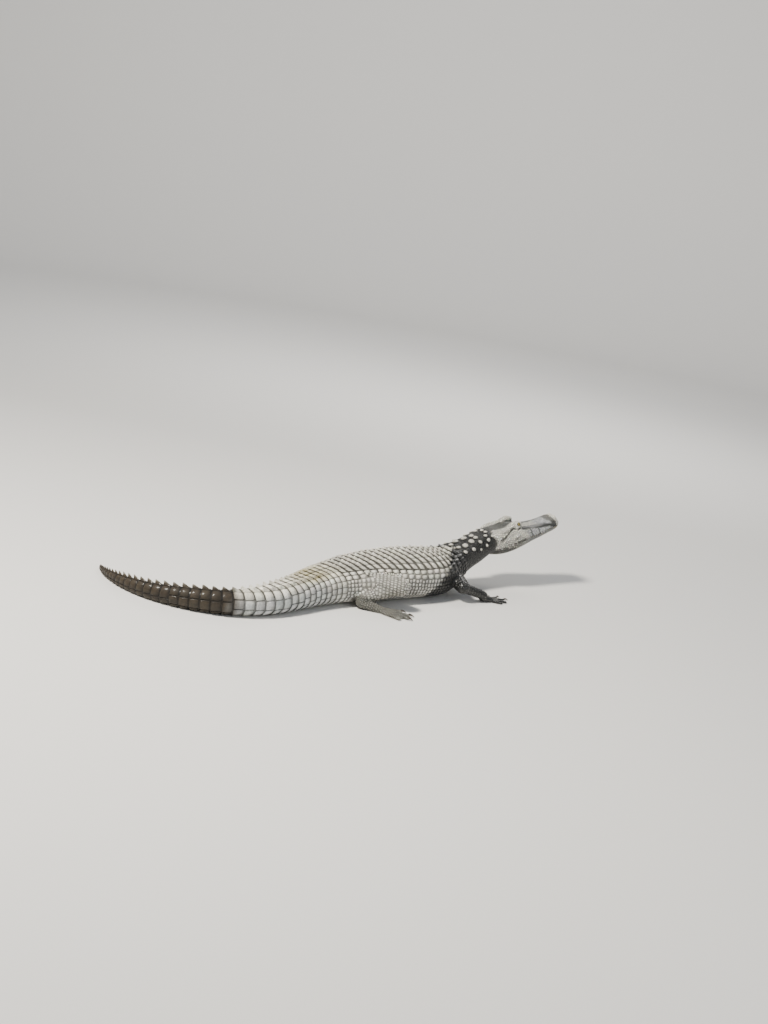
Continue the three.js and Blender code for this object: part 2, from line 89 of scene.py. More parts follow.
def linked(name, data):
    # a new object of the scene
    piece = bpy.data.objects.new(name, data)
    bpy.context.scene.collection.objects.link(piece)
    return piece


def meshOf(bm, name, smooth=False):
    # a mesh from a finished bmesh
    if smooth:
        for face in bm.faces:
            face.smooth = True
    mesh = bpy.data.meshes.new(name)
    bm.to_mesh(mesh)
    bm.free()
    return mesh


def moveVerts(verts, spots):
    for vert, spot in zip(verts, spots):
        vert.co = spot


def smoothVerts(bm, verts, factor):
    bmesh.ops.smooth_vert(bm, verts=verts, factor=factor, use_axis_x=True, use_axis_y=True, use_axis_z=True)


def awayFrom(points, spot):
    return np.linalg.norm(points - spot, axis=-1)


def keyTree(spots):
    keys = KDTree(len(spots))
    for index, spot in enumerate(spots):
        keys.insert(spot, index)
    keys.balance()
    return keys


def mix(low, high, share):
    return low + (high - low) * share


def ramp(value, low, high):
    share = np.clip((np.asarray(value, float) - low) / (high - low), 0, 1)
    return share * share * (3 - 2 * share)


def bump(value, middle, width):
    return np.exp(-(((np.asarray(value, float) - middle) / width) ** 2))


def unit(vectors):
    return vectors / np.maximum(np.linalg.norm(vectors, axis=-1, keepdims=True), 1e-12)


def smoothThrough(places, values):
    # the local cubic curve that the solids follow
    places = np.asarray(places, float)
    values = np.asarray(values, float)
    last = len(places) - 1

    def evaluate(where):
        spot = np.clip(np.asarray(where, float), places[0], places[-1])
        right = np.clip(np.searchsorted(places, spot, side="right"), 1, last)
        left = right - 1
        before = np.where(left > 0, left - 1, right)
        after = np.where(right < last, np.minimum(right + 1, last), left)
        start = places[left]
        end = places[right]
        reach = (end - start) / 2
        pull = reach / (start - places[before])
        push = reach / (places[after] - end)
        run = (spot - start) / (end - start)
        first = -pull * run**3 + 2 * pull * run**2 - pull * run
        second = (1 + pull) * run**3 + (-1.5 - 2 * pull) * run**2 + (-0.5 + pull) * run + 1
        third = (-1 - push) * run**3 + (1.5 + push) * run**2 + 0.5 * run
        fourth = push * run**3 - push * run**2
        return (
            first * values[before] + second * values[left] + third * values[right] + fourth * values[after]
        )

    return evaluate


stations = np.array(bodyPlan["stations"])
halfWidth, topHeight, lowHeight = (
    smoothThrough(stations[:, 0], stations[:, column]) for column in range(1, 4)
)
headingRows = np.array(bodyPlan["headings"], float)
headingAt = smoothThrough(headingRows[:, 0], np.radians(headingRows[:, 1]))


def walkMidline():
    # from the snout back to the tail tip, with the middle of the belly at the origin
    steps = bodyPlan["steps"]
    middles = (np.arange(steps) + 0.5) / steps
    turns = headingAt(middles)
    strides = -np.stack([np.cos(turns), np.sin(turns)], 1) * bodyPlan["length"] / steps
    points = np.vstack([np.zeros(2), np.cumsum(strides, 0)])
    place = bodyPlan["belly"] * steps
    belly = mix(points[int(place)], points[int(place) + 1], place - int(place))
    return points - belly


midline = walkMidline()
snoutSpot = midline[0]


def middleAt(along):
    along = np.asarray(along, float)
    place = np.clip(along, 0, 1) * bodyPlan["steps"]
    step = np.minimum(place.astype(int), bodyPlan["steps"] - 1)
    share = (place - step)[..., None]
    flat = mix(midline[step], midline[step + 1], share)
    height = (topHeight(along) + lowHeight(along)) / 2
    return np.concatenate([flat, height[..., None]], -1)


def axesAt(along):
    near = 0.01
    along = np.asarray(along, float)
    forward = unit(middleAt(along - near) - middleAt(along + near))
    left = unit(np.stack([-forward[..., 1], forward[..., 0], forward[..., 2] * 0], -1))
    return forward, left, np.cross(forward, left)


def crestRise(along):
    plan = bodyPlan
    onNeck = ramp(along, 0.14, 0.18)
    onTail = ramp(along, plan["trunkEnd"] - 0.02, 0.6)
    tip = 1 - ramp(along, 0.9, 1)
    paired = 1 - ramp(along, plan["crestJoin"] - 0.03, plan["crestJoin"] + 0.03)
    return onNeck * mix(plan["keel"], plan["crest"] * tip, onTail) * mix(1, paired, onTail)


# A table of the body's surface: rows run along it and columns round it, -1 and 1 meeting
# under the belly and 0 on the back, evenly spaced round the hide. Left is positive.
tablePlan = {"rows": 700, "columns": 49, "start": 0.115, "turns": 161}


def surfaceTable():
    rows = np.linspace(tablePlan["start"], 1, tablePlan["rows"])
    turns = np.linspace(0, math.pi, tablePlan["turns"])
    shares = np.linspace(0, 1, tablePlan["columns"])
    _, left, up = axesAt(rows)
    square = mix(2.5, 2, ramp(rows, 0.5, 0.7))[:, None]
    across = np.sin(turns)[None, :].clip(0) ** (2 / square)
    high = np.sign(np.cos(turns)) * np.abs(np.cos(turns))[None, :] ** (2 / square)
    tall = ((topHeight(rows) - lowHeight(rows)) / 2)[:, None]
    sink = crestRise(rows)[:, None] * bodyPlan["crestSink"] * (1 - across) * (high > 0)
    outs = across * halfWidth(rows)[:, None]
    ups = high * tall - sink
    halves = {}
    for side in (1, -1):
        spots = middleAt(rows)[:, None] + left[:, None] * (side * outs[..., None])
        spots = spots + up[:, None] * ups[..., None]
        spots[..., 2] = spots[..., 2].clip(0)
        steps = np.linalg.norm(np.diff(spots, axis=1), axis=-1)
        run = np.concatenate([np.zeros((len(rows), 1)), np.cumsum(steps, 1)], 1)
        even = np.empty((len(rows), len(shares), 3))
        acrossEven = np.empty((len(rows), len(shares)))
        outOf = np.where(high > 0, across, 2 - across)  # past 1 on the lower half
        for row in range(len(rows)):
            goal = shares * run[row, -1]
            for axis in range(3):
                even[row, :, axis] = np.interp(goal, run[row], spots[row, :, axis])
            acrossEven[row] = np.interp(goal, run[row], outOf[row])
        halves[side] = even
        girth = run[:, -1]
    points = np.concatenate([halves[-1][:, :0:-1], halves[1]], 1)
    normals = unit(np.cross(np.gradient(points, axis=1), np.gradient(points, axis=0)))
    outward = np.sum((points - middleAt(rows)[:, None]) * normals, -1, keepdims=True)
    normals = normals * np.where(outward < 0, -1, 1)
    return rows, points, normals, girth, acrossEven


tableRows, tablePoints, tableNormals, tableGirth, tableAcross = surfaceTable()
tableSwell = np.zeros(tablePoints.shape[:2])  # how far a leg's root lifts the hide, filled in later


def tableAt(table, along, around):
    rows = len(tableRows) - 1
    columns = table.shape[1] - 1
    start = tablePlan["start"]
    row = np.clip((along - start) / (1 - start) * rows, 0, rows - 1e-6)
    column = np.clip((around + 1) / 2 * columns, 0, columns - 1e-6)
    low = row.astype(int)
    near = column.astype(int)
    rowShare = row - low
    columnShare = column - near
    if table.ndim == 3:
        rowShare = rowShare[..., None]
        columnShare = columnShare[..., None]
    first = mix(table[low, near], table[low + 1, near], rowShare)
    second = mix(table[low, near + 1], table[low + 1, near + 1], rowShare)
    return mix(first, second, columnShare)


def halfGirth(along):
    return np.interp(along, tableRows, tableGirth)


def aroundOf(along, across):
    # the place round the hide where the upper half is this share of the half width out
    row = int(np.clip(np.searchsorted(tableRows, along), 0, len(tableRows) - 1))
    return float(np.interp(across, tableAcross[row], np.linspace(0, 1, tablePlan["columns"])))


def bodySurface(along, around, lift, lean=0):
    # a point of the body's hide, raised by lift and drawn towards the tail by lean
    around = np.where(around > 1, around - 2, np.where(around < -1, around + 2, around))
    normals = unit(tableAt(tableNormals, along, around))
    points = tableAt(tablePoints, along, around)
    swell = tableAt(tableSwell, along, around)
    points = points + normals * (lift + swell)[..., None]
    if np.any(lean):
        points = points - axesAt(along)[0] * np.asarray(lean)[..., None]
    points[..., 2] = points[..., 2].clip(skinPlan["clearance"])
    return points


def rowEdges(start, end, lengths):
    shares = np.concatenate([[0], np.cumsum(lengths)]) / np.sum(lengths)
    return [float(mix(start, end, share)) for share in shares]


def whorlLengths():
    # the whorls are longest before the tail's middle
    share = np.linspace(0, 1, bodyPlan["tailWhorls"])
    growing = mix(bodyPlan["firstWhorl"], 1, ramp(share, 0, 0.42))
    return growing * mix(1, bodyPlan["lastWhorl"], ramp(share, 0.5, 1))


trunkEdges = rowEdges(bodyPlan["neckEnd"], bodyPlan["trunkEnd"], np.ones(bodyPlan["trunkRows"]))
tailEdges = rowEdges(bodyPlan["trunkEnd"], 1, whorlLengths())

# The head's plan, in shares of the skull's length: back from the snout tip, out and up.
headPlan = {
    "length": 0.298,
    "pitch": 20,
    "snoutHeight": 0.224,
    # back, cheek, table, top, lip, jaw
    "stations": [
        (0, 0.05, 0.03, 0.118, 0.078, 0.05), (0.02, 0.1, 0.06, 0.14, 0.068, 0.035),
        (0.06, 0.14, 0.085, 0.153, 0.06, 0.022), (0.13, 0.165, 0.1, 0.146, 0.064, 0.012),
        (0.22, 0.172, 0.105, 0.141, 0.07, 0.006), (0.34, 0.182, 0.115, 0.152, 0.058, 0),
        (0.46, 0.196, 0.125, 0.175, 0.068, -0.002), (0.56, 0.212, 0.13, 0.205, 0.078, -0.006),
        (0.64, 0.226, 0.135, 0.25, 0.082, -0.01), (0.72, 0.238, 0.15, 0.283, 0.09, -0.012),
        (0.82, 0.248, 0.165, 0.295, 0.105, -0.012), (0.92, 0.252, 0.175, 0.298, 0.125, -0.006),
        (1, 0.24, 0.175, 0.29, 0.135, 0.005), (1.07, 0.222, 0.15, 0.26, 0.135, 0.018),
        (1.13, 0.19, 0.12, 0.22, 0.125, 0.035),
    ],
    "eye": (0.665, 0.127, 0.279),
    "eyeRadius": 0.041,
    "lid": (0.7, 0.106, 0.27),
    "lidRadii": (0.115, 0.06, 0.056),
    "nostril": (0.055, 0.038, 0.142),
    "nostrilRadii": (0.036, 0.034, 0.026),
}


def headAxes():
    heading = math.radians(bodyPlan["headings"][0][1])
    pitch = math.radians(headPlan["pitch"])
    forward = np.array(
        [math.cos(heading) * math.cos(pitch), math.sin(heading) * math.cos(pitch), math.sin(pitch)]
    )
    left = unit(np.array([-forward[1], forward[0], 0]))
    return forward, left, np.cross(forward, left)


headForward, headLeft, headUp = headAxes()
snoutFoot = np.array([snoutSpot[0], snoutSpot[1], headPlan["snoutHeight"]])
headStations = np.array(headPlan["stations"])
cheekHalf, tableHalf, headTop, lipLine, jawLow = (
    smoothThrough(headStations[:, 0], headStations[:, column]) for column in range(1, 6)
)


def headPoint(back, out, up):
    size = headPlan["length"]
    back, out, up = (np.asarray(share, float)[..., None] for share in (back, out, up))
    return snoutFoot - headForward * back * size + headLeft * out * size + headUp * up * size


def headSpot(name, side):
    # the middle of the lid, eye or nostril on one side, -1 or 1
    back, out, up = headPlan[name]
    return headPoint(back, side * out, up)


def headPlace(points):
    # back, out and up of points, in shares of the skull's length
    arms = (np.asarray(points) - snoutFoot) / headPlan["length"]
    return -arms @ headForward, arms @ headLeft, arms @ headUp


def upperHeadSection(back):
    cheek = cheekHalf(back)
    table = tableHalf(back)
    top = headTop(back)
    lip = lipLine(back)
    tall = top - lip
    return [
        (0, top), (table, top - tall * 0.04), (mix(table, cheek, 0.55), top - tall * 0.3),
        (cheek, lip + tall * 0.36), (cheek * 1.005, lip + tall * 0.1), (cheek * 0.93, lip), (0, lip),
    ]


def lowerJawSection(back):
    cheek = cheekHalf(back) * 0.95
    low = jawLow(back)
    lip = lipLine(back)
    tall = lip - low
    return [
        (0, lip), (cheek * 0.95, lip), (cheek, lip - tall * 0.35),
        (cheek * 0.93, low + tall * 0.2), (cheek * 0.72, low), (0, low),
    ]


# Legs: lengths of the segments, radii and the joints' turns, outward from the body's heading.
legPlans = {
    "hind": {
        "at": 0.478, "out": 0.058, "up": 0.074, "upper": 0.156, "lower": 0.13,
        "radii": (0.046, 0.037, 0.027, 0.021), "palm": 0.072, "palmRadius": 0.023,
        "toes": (-26, -8, 10, 27), "toeLengths": (0.06, 0.078, 0.08, 0.066),
        "toeRadius": 0.01, "web": 0.78,
        "right": {"kneeTurn": 45, "kneeUp": 0.082, "ankleTurn": 203, "ankleUp": 0.034, "footTurn": 54},
        "left": {"kneeTurn": 32, "kneeUp": 0.062, "ankleTurn": 186, "ankleUp": 0.032, "footTurn": 30},
    },
    "fore": {
        "at": 0.256, "out": 0.052, "up": 0.074, "upper": 0.096, "lower": 0.09,
        "radii": (0.034, 0.027, 0.022, 0.017), "palm": 0.04, "palmRadius": 0.018,
        "toes": (-52, -26, -3, 20, 44), "toeLengths": (0.034, 0.046, 0.048, 0.042, 0.032),
        "toeRadius": 0.008, "web": 0,
        "right": {"kneeTurn": 108, "kneeUp": 0.052, "ankleTurn": 16, "ankleUp": 0.025, "footTurn": 12},
        "left": {"kneeTurn": 118, "kneeUp": 0.052, "ankleTurn": 4, "ankleUp": 0.025, "footTurn": 16},
    },
}
legSides = {"right": -1, "left": 1}
footParts = ("palm", "toe")
clawPlan = {"length": 0.019, "count": 3, "arch": 0.003, "buried": 0.006}


def turnedFrom(point, heading, distance, height):
    return np.array(
        [point[0] + math.cos(heading) * distance, point[1] + math.sin(heading) * distance, height]
    )


def toeLimbs(plan, sign, knuckle, footHeading):
    toes = []
    for turn, length in zip(plan["toes"], plan["toeLengths"]):
        heading = footHeading + sign * math.radians(turn)
        spread = footHeading + sign * math.radians(turn * 2.4)
        start = turnedFrom(knuckle, spread, plan["palmRadius"] * 0.72, plan["toeRadius"] * 0.8)
        end = turnedFrom(start, heading, length, plan["toeRadius"] * 0.55)
        toes.append({
            "part": "toe", "start": start, "end": end, "heading": heading, "length": length,
            "radii": (plan["toeRadius"], plan["toeRadius"] * 0.62), "flat": 0.85,
            "clawed": len(toes) < clawPlan["count"],
        })
    return toes


def legJoints(kind, side):
    # the joints, limbs and toes of one leg
    plan = legPlans[kind]
    sign = legSides[side]
    pose = plan[side]
    forward, left, _ = axesAt(plan["at"])
    heading = math.atan2(forward[1], forward[0])

    def outward(degrees):
        return heading + sign * math.radians(degrees)

    root = middleAt(plan["at"]) + left * sign * plan["out"]
    root[2] = plan["up"]
    knee = turnedFrom(root, outward(pose["kneeTurn"]), plan["upper"], pose["kneeUp"])
    ankle = turnedFrom(knee, outward(pose["ankleTurn"]), plan["lower"], pose["ankleUp"])
    footHeading = outward(pose["footTurn"])
    knuckle = turnedFrom(ankle, footHeading, plan["palm"], plan["toeRadius"] * 0.8)
    footRoot = ankle.copy()
    footRoot[2] = plan["palmRadius"] * 0.8
    limbs = [
        {"part": "upper", "start": root, "end": knee, "radii": plan["radii"][:2], "flat": 0.9},
        {"part": "lower", "start": knee, "end": ankle, "radii": plan["radii"][2:], "flat": 0.95},
        {
            "part": "palm", "start": footRoot, "end": knuckle,
            "radii": (plan["palmRadius"], plan["palmRadius"] * 0.8), "flat": 0.72,
        },
    ]
    return {
        "kind": kind, "side": side, "limbs": limbs, "toes": toeLimbs(plan, sign, knuckle, footHeading),
        "knuckle": knuckle, "footHeading": footHeading,
    }


legs = [legJoints(kind, side) for kind in legPlans for side in legSides]

# One skin for all the flesh: voxel size, smoothing and how far it lies under the scales.
skinPlan = {
    "voxel": 0.0052,
    "smooth": 7,
    "coat": 0.0022,
    "headCoat": 0.001,
    "footCoat": 0.0012,
    "clearance": 0.0003,
    "floorGap": 0.0016,
    "bodyRows": 420,
    "bodyColumns": 72,
    "headRows": 90,
    "headColumns": 48,
    "limbRows": 24,
    "limbColumns": 20,
    "upperHead": (0, 1.02),
    "lowerJaw": (0.01, 1.13),
    "web": 0.0062,
    "toePad": 1.15,
    "settle": 0.003,
    "tipSettle": 0.009,
    "tipSize": 0.014,
}


def atEnds(run):
    return (run < 1e-6) | (run > 1 - 1e-6)


def thicken(bm, faces, height):
    # a closed slab from flat faces
    raised = bmesh.ops.extrude_face_region(bm, geom=faces, use_keep_orig=True)["geom"]
    verts = [item for item in raised if isinstance(item, bmesh.types.BMVert)]
    bmesh.ops.translate(bm, vec=(0, 0, height), verts=verts)


def rollGrid(bm, rows, columns, place):
    # a grid rolled into a closed skin: place(run, turn) takes and gives arrays, 0 to 1 each
    made = bmesh.ops.create_grid(bm, x_segments=rows, y_segments=columns, size=1)["verts"]
    flat = np.array([vert.co[:2] for vert in made])
    low = flat.min(0)
    shares = (flat - low) / (flat.max(0) - low)
    moveVerts(made, place(shares[:, 0], shares[:, 1]))
    bmesh.ops.remove_doubles(bm, verts=made, dist=1e-5)


def bodyRoll(run, turn):
    along = mix(0.118, 1, run)
    points = tableAt(tablePoints, along, turn * 2 - 1)
    return np.where(atEnds(run)[:, None], middleAt(along), points)


def headRoll(section, start, end):
    shares = np.linspace(0, 1, 41)

    def place(run, turn):
        points = np.empty((len(run), 3))
        for value in np.unique(run):
            rows = run == value
            back = mix(start, end, float(np.clip(value * 1.04 - 0.02, 0, 1)))
            outline = np.array([(float(out), float(up)) for out, up in section(back)])
            edges = np.concatenate([[0], np.cumsum(np.linalg.norm(np.diff(outline, axis=0), axis=1))])
            even = [np.interp(shares * edges[-1], edges, outline[:, axis]) for axis in (0, 1)]
            half = np.abs(turn[rows] * 2 - 1)
            out = np.interp(half, shares, even[0]) * np.sign(turn[rows] - 0.5)
            up = np.interp(half, shares, even[1])
            if atEnds(value):
                out = out * 0
                up = up * 0 + outline[:, 1].mean()
            points[rows] = headPoint(np.full(len(out), back), out, up)
        return points

    return place


def limbLength(limb):
    return float(np.linalg.norm(limb["end"] - limb["start"]))


def limbAxes(limb):
    along = unit(limb["end"] - limb["start"])
    sideways = unit(np.cross((0, 0, 1), along))
    return along, sideways, np.cross(along, sideways)


def limbRoll(limb):
    # a rounded cone from the first joint to the second
    along, sideways, over = limbAxes(limb)
    length = limbLength(limb)
    first, second = limb["radii"]
    cap = 0.25

    def place(run, turn):
        rising = np.clip(run / cap, 0, 1) * math.pi / 2
        falling = np.clip((run - 1 + cap) / cap, 0, 1) * math.pi / 2
        share = np.clip((run - cap) / (1 - 2 * cap), 0, 1)
        radius = mix(first * np.sin(rising), second * np.cos(falling), share)
        shift = -first * np.cos(rising) * (share == 0) + (length + second * np.sin(falling)) * (share == 1)
        shift = np.where((share > 0) & (share < 1), share * length, shift)
        angle = turn * 2 * math.pi
        return (
            limb["start"]
            + along * shift[:, None]
            + sideways * (radius * np.sin(angle))[:, None]
            + over * (radius * np.cos(angle) * limb["flat"])[:, None]
        )

    return place


def addBall(bm, centre, radii):
    made = bmesh.ops.create_uvsphere(bm, u_segments=24, v_segments=14, radius=1)["verts"]
    basis = Matrix([headForward, headLeft, headUp]).transposed().to_4x4()
    sizes = Matrix.Diagonal((*[radius * headPlan["length"] for radius in radii], 1))
    bmesh.ops.transform(bm, matrix=Matrix.Translation(centre) @ basis @ sizes, verts=made)


def fullTip(limb):
    # a toe without a claw ends in a fuller pad
    if limb.get("clawed", True):
        return limb
    first, second = limb["radii"]
    return {**limb, "radii": (first, second * skinPlan["toePad"])}


def addWeb(bm, leg):
    # the hind foot's web, a thin fan between the toes
    plan = legPlans[leg["kind"]]
    knuckle = leg["knuckle"]
    spots = [turnedFrom(knuckle, leg["footHeading"], -plan["palmRadius"] * 0.4, 0)]
    for turn, length in zip(plan["toes"], plan["toeLengths"]):
        reach = plan["palmRadius"] + length * plan["web"]
        heading = leg["footHeading"] + legSides[leg["side"]] * math.radians(turn)
        spots.append(turnedFrom(knuckle, heading, reach, 0))
    face = bm.faces.new([bm.verts.new(spot) for spot in spots])
    thicken(bm, [face], skinPlan["web"])


def roughFlesh():
    # every length of the body as closed shapes that pass through each other
    bm = bmesh.new()
    rollGrid(bm, skinPlan["bodyRows"], skinPlan["bodyColumns"], bodyRoll)
    headGrid = skinPlan["headRows"], skinPlan["headColumns"]
    rollGrid(bm, *headGrid, headRoll(upperHeadSection, *skinPlan["upperHead"]))
    rollGrid(bm, *headGrid, headRoll(lowerJawSection, *skinPlan["lowerJaw"]))
    for side in legSides.values():
        addBall(bm, headSpot("lid", side), headPlan["lidRadii"])
        addBall(bm, headSpot("nostril", side), headPlan["nostrilRadii"])
    for leg in legs:
        for limb in leg["limbs"] + leg["toes"]:
            rollGrid(bm, skinPlan["limbRows"], skinPlan["limbColumns"], limbRoll(fullTip(limb)))
        if legPlans[leg["kind"]]["web"]:
            addWeb(bm, leg)
    bmesh.ops.recalc_face_normals(bm, faces=bm.faces)
    bmesh.ops.triangulate(bm, faces=bm.faces)
    return meshOf(bm, "skin")


def meshPoints(mesh):
    flat = np.empty(len(mesh.vertices) * 3, np.float32)
    mesh.vertices.foreach_get("co", flat)
    return flat.reshape(-1, 3).astype(float)


def insideBox(points):
    # nothing stands proud of the CAD's own box
    return np.clip(points, np.array(cadBox[0]), np.array(cadBox[1]))


def bmPoints(verts):
    return np.array([vert.co[:] for vert in verts])


def wrapped(mesh):
    # the rough flesh as one closed skin
    rough = linked("rough", mesh)
    remesh = rough.modifiers.new("wrap", "REMESH")
    remesh.mode = "VOXEL"
    remesh.voxel_size = skinPlan["voxel"]
    smooth = rough.modifiers.new("smooth", "SMOOTH")
    smooth.factor = 0.5
    smooth.iterations = skinPlan["smooth"]
    bpy.context.view_layer.update()
    graph = bpy.context.evaluated_depsgraph_get()
    made = bpy.data.meshes.new_from_object(rough.evaluated_get(graph))
    bpy.data.objects.remove(rough)
    return made


def settle(points, tree):
    # pulls what the smoothing shrank back out to the rough flesh, the most at bare toe tips
    moved = points.copy()
    tips = [toe["end"] for leg in legs for toe in leg["toes"] if not toe["clawed"]]
    nearTip = np.min([awayFrom(points, tip) for tip in tips], axis=0) < skinPlan["tipSize"]
    limits = np.where(nearTip, skinPlan["tipSettle"], skinPlan["settle"])
    for index, (spot, limit) in enumerate(zip(points, limits)):
        near, normal, _, gap = tree.find_nearest(Vector(spot))
        if near is not None and gap <= limit and (Vector(spot) - near).dot(normal) < 0:
            moved[index] = near
    return moved


def headMask(points, margin=0):
    back, out, up = headPlace(points)
    return (back < 1.01 + margin) & (back > -0.05) & (np.abs(out) < 0.32) & (up > -0.08) & (up < 0.42)


# The mouth line, eye openings, ear slits, nostrils and ridges, in metres and shares of the skull.
mouthPlan = {
    "depth": 0.0036, "width": 0.0013, "overhang": 0.0011,
    "bulges": (0.1, 0.145, 0.3, 0.345, 0.42), "bulge": 0.0014, "clear": 0.0032, "fine": 0.006,
}
eyePlan = {
    "wide": 0.0094, "tall": 0.0064, "lowShare": 0.85, "lidDepth": 0.0014, "sunk": 0.0014,
    "lidStart": 1.06, "lidEnd": 1.12, "reach": 1.7, "depth": 1.9, "cover": 0.0009, "fine": 0.019,
}
earPlan = {
    "start": (0.755, 0.262), "end": (0.93, 0.268), "depth": 0.0026, "width": 0.0015,
    "out": 0.12, "flap": 0.0014,
}
nostrilPlan = {"spot": (0.052, 0.04), "wide": 0.0042, "depth": 0.0045, "clear": 0.0085, "fine": 0.012}
eyeballRadius = headPlan["eyeRadius"] * headPlan["length"]
ridgePlan = {"height": 0.0022, "width": 0.016, "tableEdge": 0.0016, "dish": 0.0016}


def eyeAxes(side):
    # where the eye looks: outward, a little up and forward
    look = unit(headLeft * side * 0.86 + headUp * 0.42 + headForward * 0.3)
    ahead = unit(headForward - look * (headForward @ look))
    return look, ahead, unit(np.cross(look, ahead)) * (1 if np.cross(look, ahead) @ headUp > 0 else -1)


def lipGap(points):
    # height over the mouth line in metres, and how strongly the line is there
    back, out, up = headPlace(points)
    gap = (up - lipLine(back)) * headPlan["length"]
    sides = ramp(np.abs(out), cheekHalf(back) * 0.45, cheekHalf(back) * 0.7)
    strength = np.maximum(sides, 1 - ramp(back, 0.02, 0.05)) * (1 - ramp(back, 0.9, 0.97))
    return gap, strength * (back > -0.03)


def fineSpots(points):
    # where the head needs the smallest faces
    gap, strength = lipGap(points)
    fine = headMask(points) & (strength > 0.1) & (np.abs(gap) < mouthPlan["fine"])
    for side in legSides.values():
        fine |= awayFrom(points, headSpot("eye", side)) < eyePlan["fine"]
        fine |= awayFrom(points, headSpot("nostril", side)) < nostrilPlan["fine"]
    return fine


def refine(bm, mask, tree, smoothing):
    # smaller faces where the mask holds, drawn onto the rough flesh
    centres = np.array([face.calc_center_median()[:] for face in bm.faces])
    faces = [face for face, wanted in zip(bm.faces, mask(centres)) if wanted]
    edges = {edge for face in faces for edge in face.edges}
    bmesh.ops.subdivide_edges(bm, edges=list(edges), cuts=1, use_grid_fill=True)
    verts = [vert for vert, wanted in zip(bm.verts, mask(bmPoints(bm.verts))) if wanted]
    for _ in range(smoothing):
        smoothVerts(bm, verts, 0.5)
    moveVerts(verts, settle(bmPoints(verts), tree))
    smoothVerts(bm, verts, 0.4)


def footMask(points):
    near = np.zeros(len(points), bool)
    for leg in legs:
        away = awayFrom(points[:, :2], leg["knuckle"][:2])
        reach = max(legPlans[leg["kind"]]["toeLengths"]) + 0.035
        near |= (away < reach) & (points[:, 2] < 0.03)
    return near


def carveHead(points, normals):
    # the mouth line, nostrils, ear slits and ridges, as moves of the skin's points
    back, out, up = headPlace(points)
    size = headPlan["length"]
    inside = headMask(points)
    gap, strength = lipGap(points)
    strength = strength * inside

    def raised(height):
        return normals * height[:, None]

    moves = raised(-mouthPlan["depth"] * bump(gap, 0, mouthPlan["width"]) * strength)
    moves += raised(mouthPlan["overhang"] * bump(gap, 0.0042, 0.0028) * strength)
    moves += raised(mouthPlan["overhang"] * 0.6 * bump(gap, -0.004, 0.0025) * strength)
    for middle in mouthPlan["bulges"]:
        swell = mouthPlan["bulge"] * bump(back, middle, 0.02) * bump(gap, 0.006, 0.006)
        moves += raised(swell * strength)
    away = np.abs(out)
    upper = inside & (up > lipLine(back) + 0.05)
    # ridges from the eyes down the snout, and the raised edges of the skull's table
    ridge = mix(0.112, 0.07, ramp(back, 0.6, 0.3))
    lift = ridgePlan["height"] * bump(away, ridge, ridgePlan["width"])
    lift = lift * ramp(back, 0.24, 0.36) * (1 - ramp(back, 0.56, 0.62))
    edge = ridgePlan["tableEdge"] * bump(away, tableHalf(back) * 0.97, 0.014)
    edge = edge * ramp(back, 0.74, 0.8) * (1 - ramp(back, 0.97, 1))
    hollow = -ridgePlan["dish"] * bump(away, 0, 0.05)
    dish = hollow * ramp(back, 0.76, 0.84) * (1 - ramp(back, 0.94, 1))
    valley = hollow * bump(back, 0.62, 0.06)
    moves += raised((lift + edge + dish + valley) * upper)
    # ear slits under the table's edges
    (startBack, startUp), (endBack, endUp) = earPlan["start"], earPlan["end"]
    line = mix(startUp, endUp, np.clip((back - startBack) / (endBack - startBack), 0, 1))
    there = ramp(back, startBack - 0.01, startBack + 0.02) * (1 - ramp(back, endBack - 0.02, endBack + 0.01))
    there = there * (away > earPlan["out"]) * inside
    moves += raised(-earPlan["depth"] * (bump((up - line) * size, 0, earPlan["width"]) * there))
    moves += raised(earPlan["flap"] * (bump((up - line) * size, 0.004, 0.0026) * there))
    carved = points + moves
    # nostrils
    spotBack, spotOut = nostrilPlan["spot"]
    around = np.hypot((back - spotBack) * size, (away - spotOut) * size * 1.5)
    pit = bump(around, 0, nostrilPlan["wide"]) * inside * (up > 0.13)
    carved -= headUp * (nostrilPlan["depth"] * pit)[:, None]
    return carved


def openEyes(points):
    # folds the skin round each eyeball: inside the opening it sinks, and the lids stand over it
    radius = eyeballRadius
    moved = points.copy()
    for side in legSides.values():
        centre = headSpot("eye", side)
        look, ahead, over = eyeAxes(side)
        arms = points - centre
        rise = arms @ over
        front = arms @ look
        tall = eyePlan["tall"] * np.where(rise > 0, 1, eyePlan["lowShare"])
        oval = np.hypot(arms @ ahead / eyePlan["wide"], rise / tall)
        outward = unit(arms)
        lidRadius = radius + eyePlan["lidDepth"] * (1 - ramp(oval, 1.15, eyePlan["reach"]) * 0.6)
        reach = awayFrom(points, centre)
        near = (front > 0) & (oval < eyePlan["reach"]) & (reach < radius * eyePlan["depth"])
        beyond = oval > eyePlan["lidEnd"]
        lids = np.where(beyond, np.maximum(reach, lidRadius), lidRadius)
        goal = mix(radius - eyePlan["sunk"], lids, ramp(oval, 0.88, eyePlan["lidStart"]))
        blend = 1 - ramp(oval, 1.3, eyePlan["reach"])
        wanted = centre + outward * mix(reach, goal, np.where(beyond, blend, 1))[:, None]
        moved[near] = wanted[near]
        close = (reach < radius + eyePlan["cover"]) & ((front < 0) | (oval > eyePlan["lidStart"]))
        moved[close] = (centre + outward * (radius + eyePlan["cover"]))[close]
    return moved


def coatDepth(points):
    # how far the skin lies under the flesh's own shape, to leave room for the scales
    plan = skinPlan
    head = mix(plan["headCoat"], plan["coat"], ramp(headPlace(points)[0], 1.0, 1.1))
    depth = np.where(headMask(points, 0.1), head, plan["coat"])
    return np.where(footMask(points), plan["footCoat"], depth)


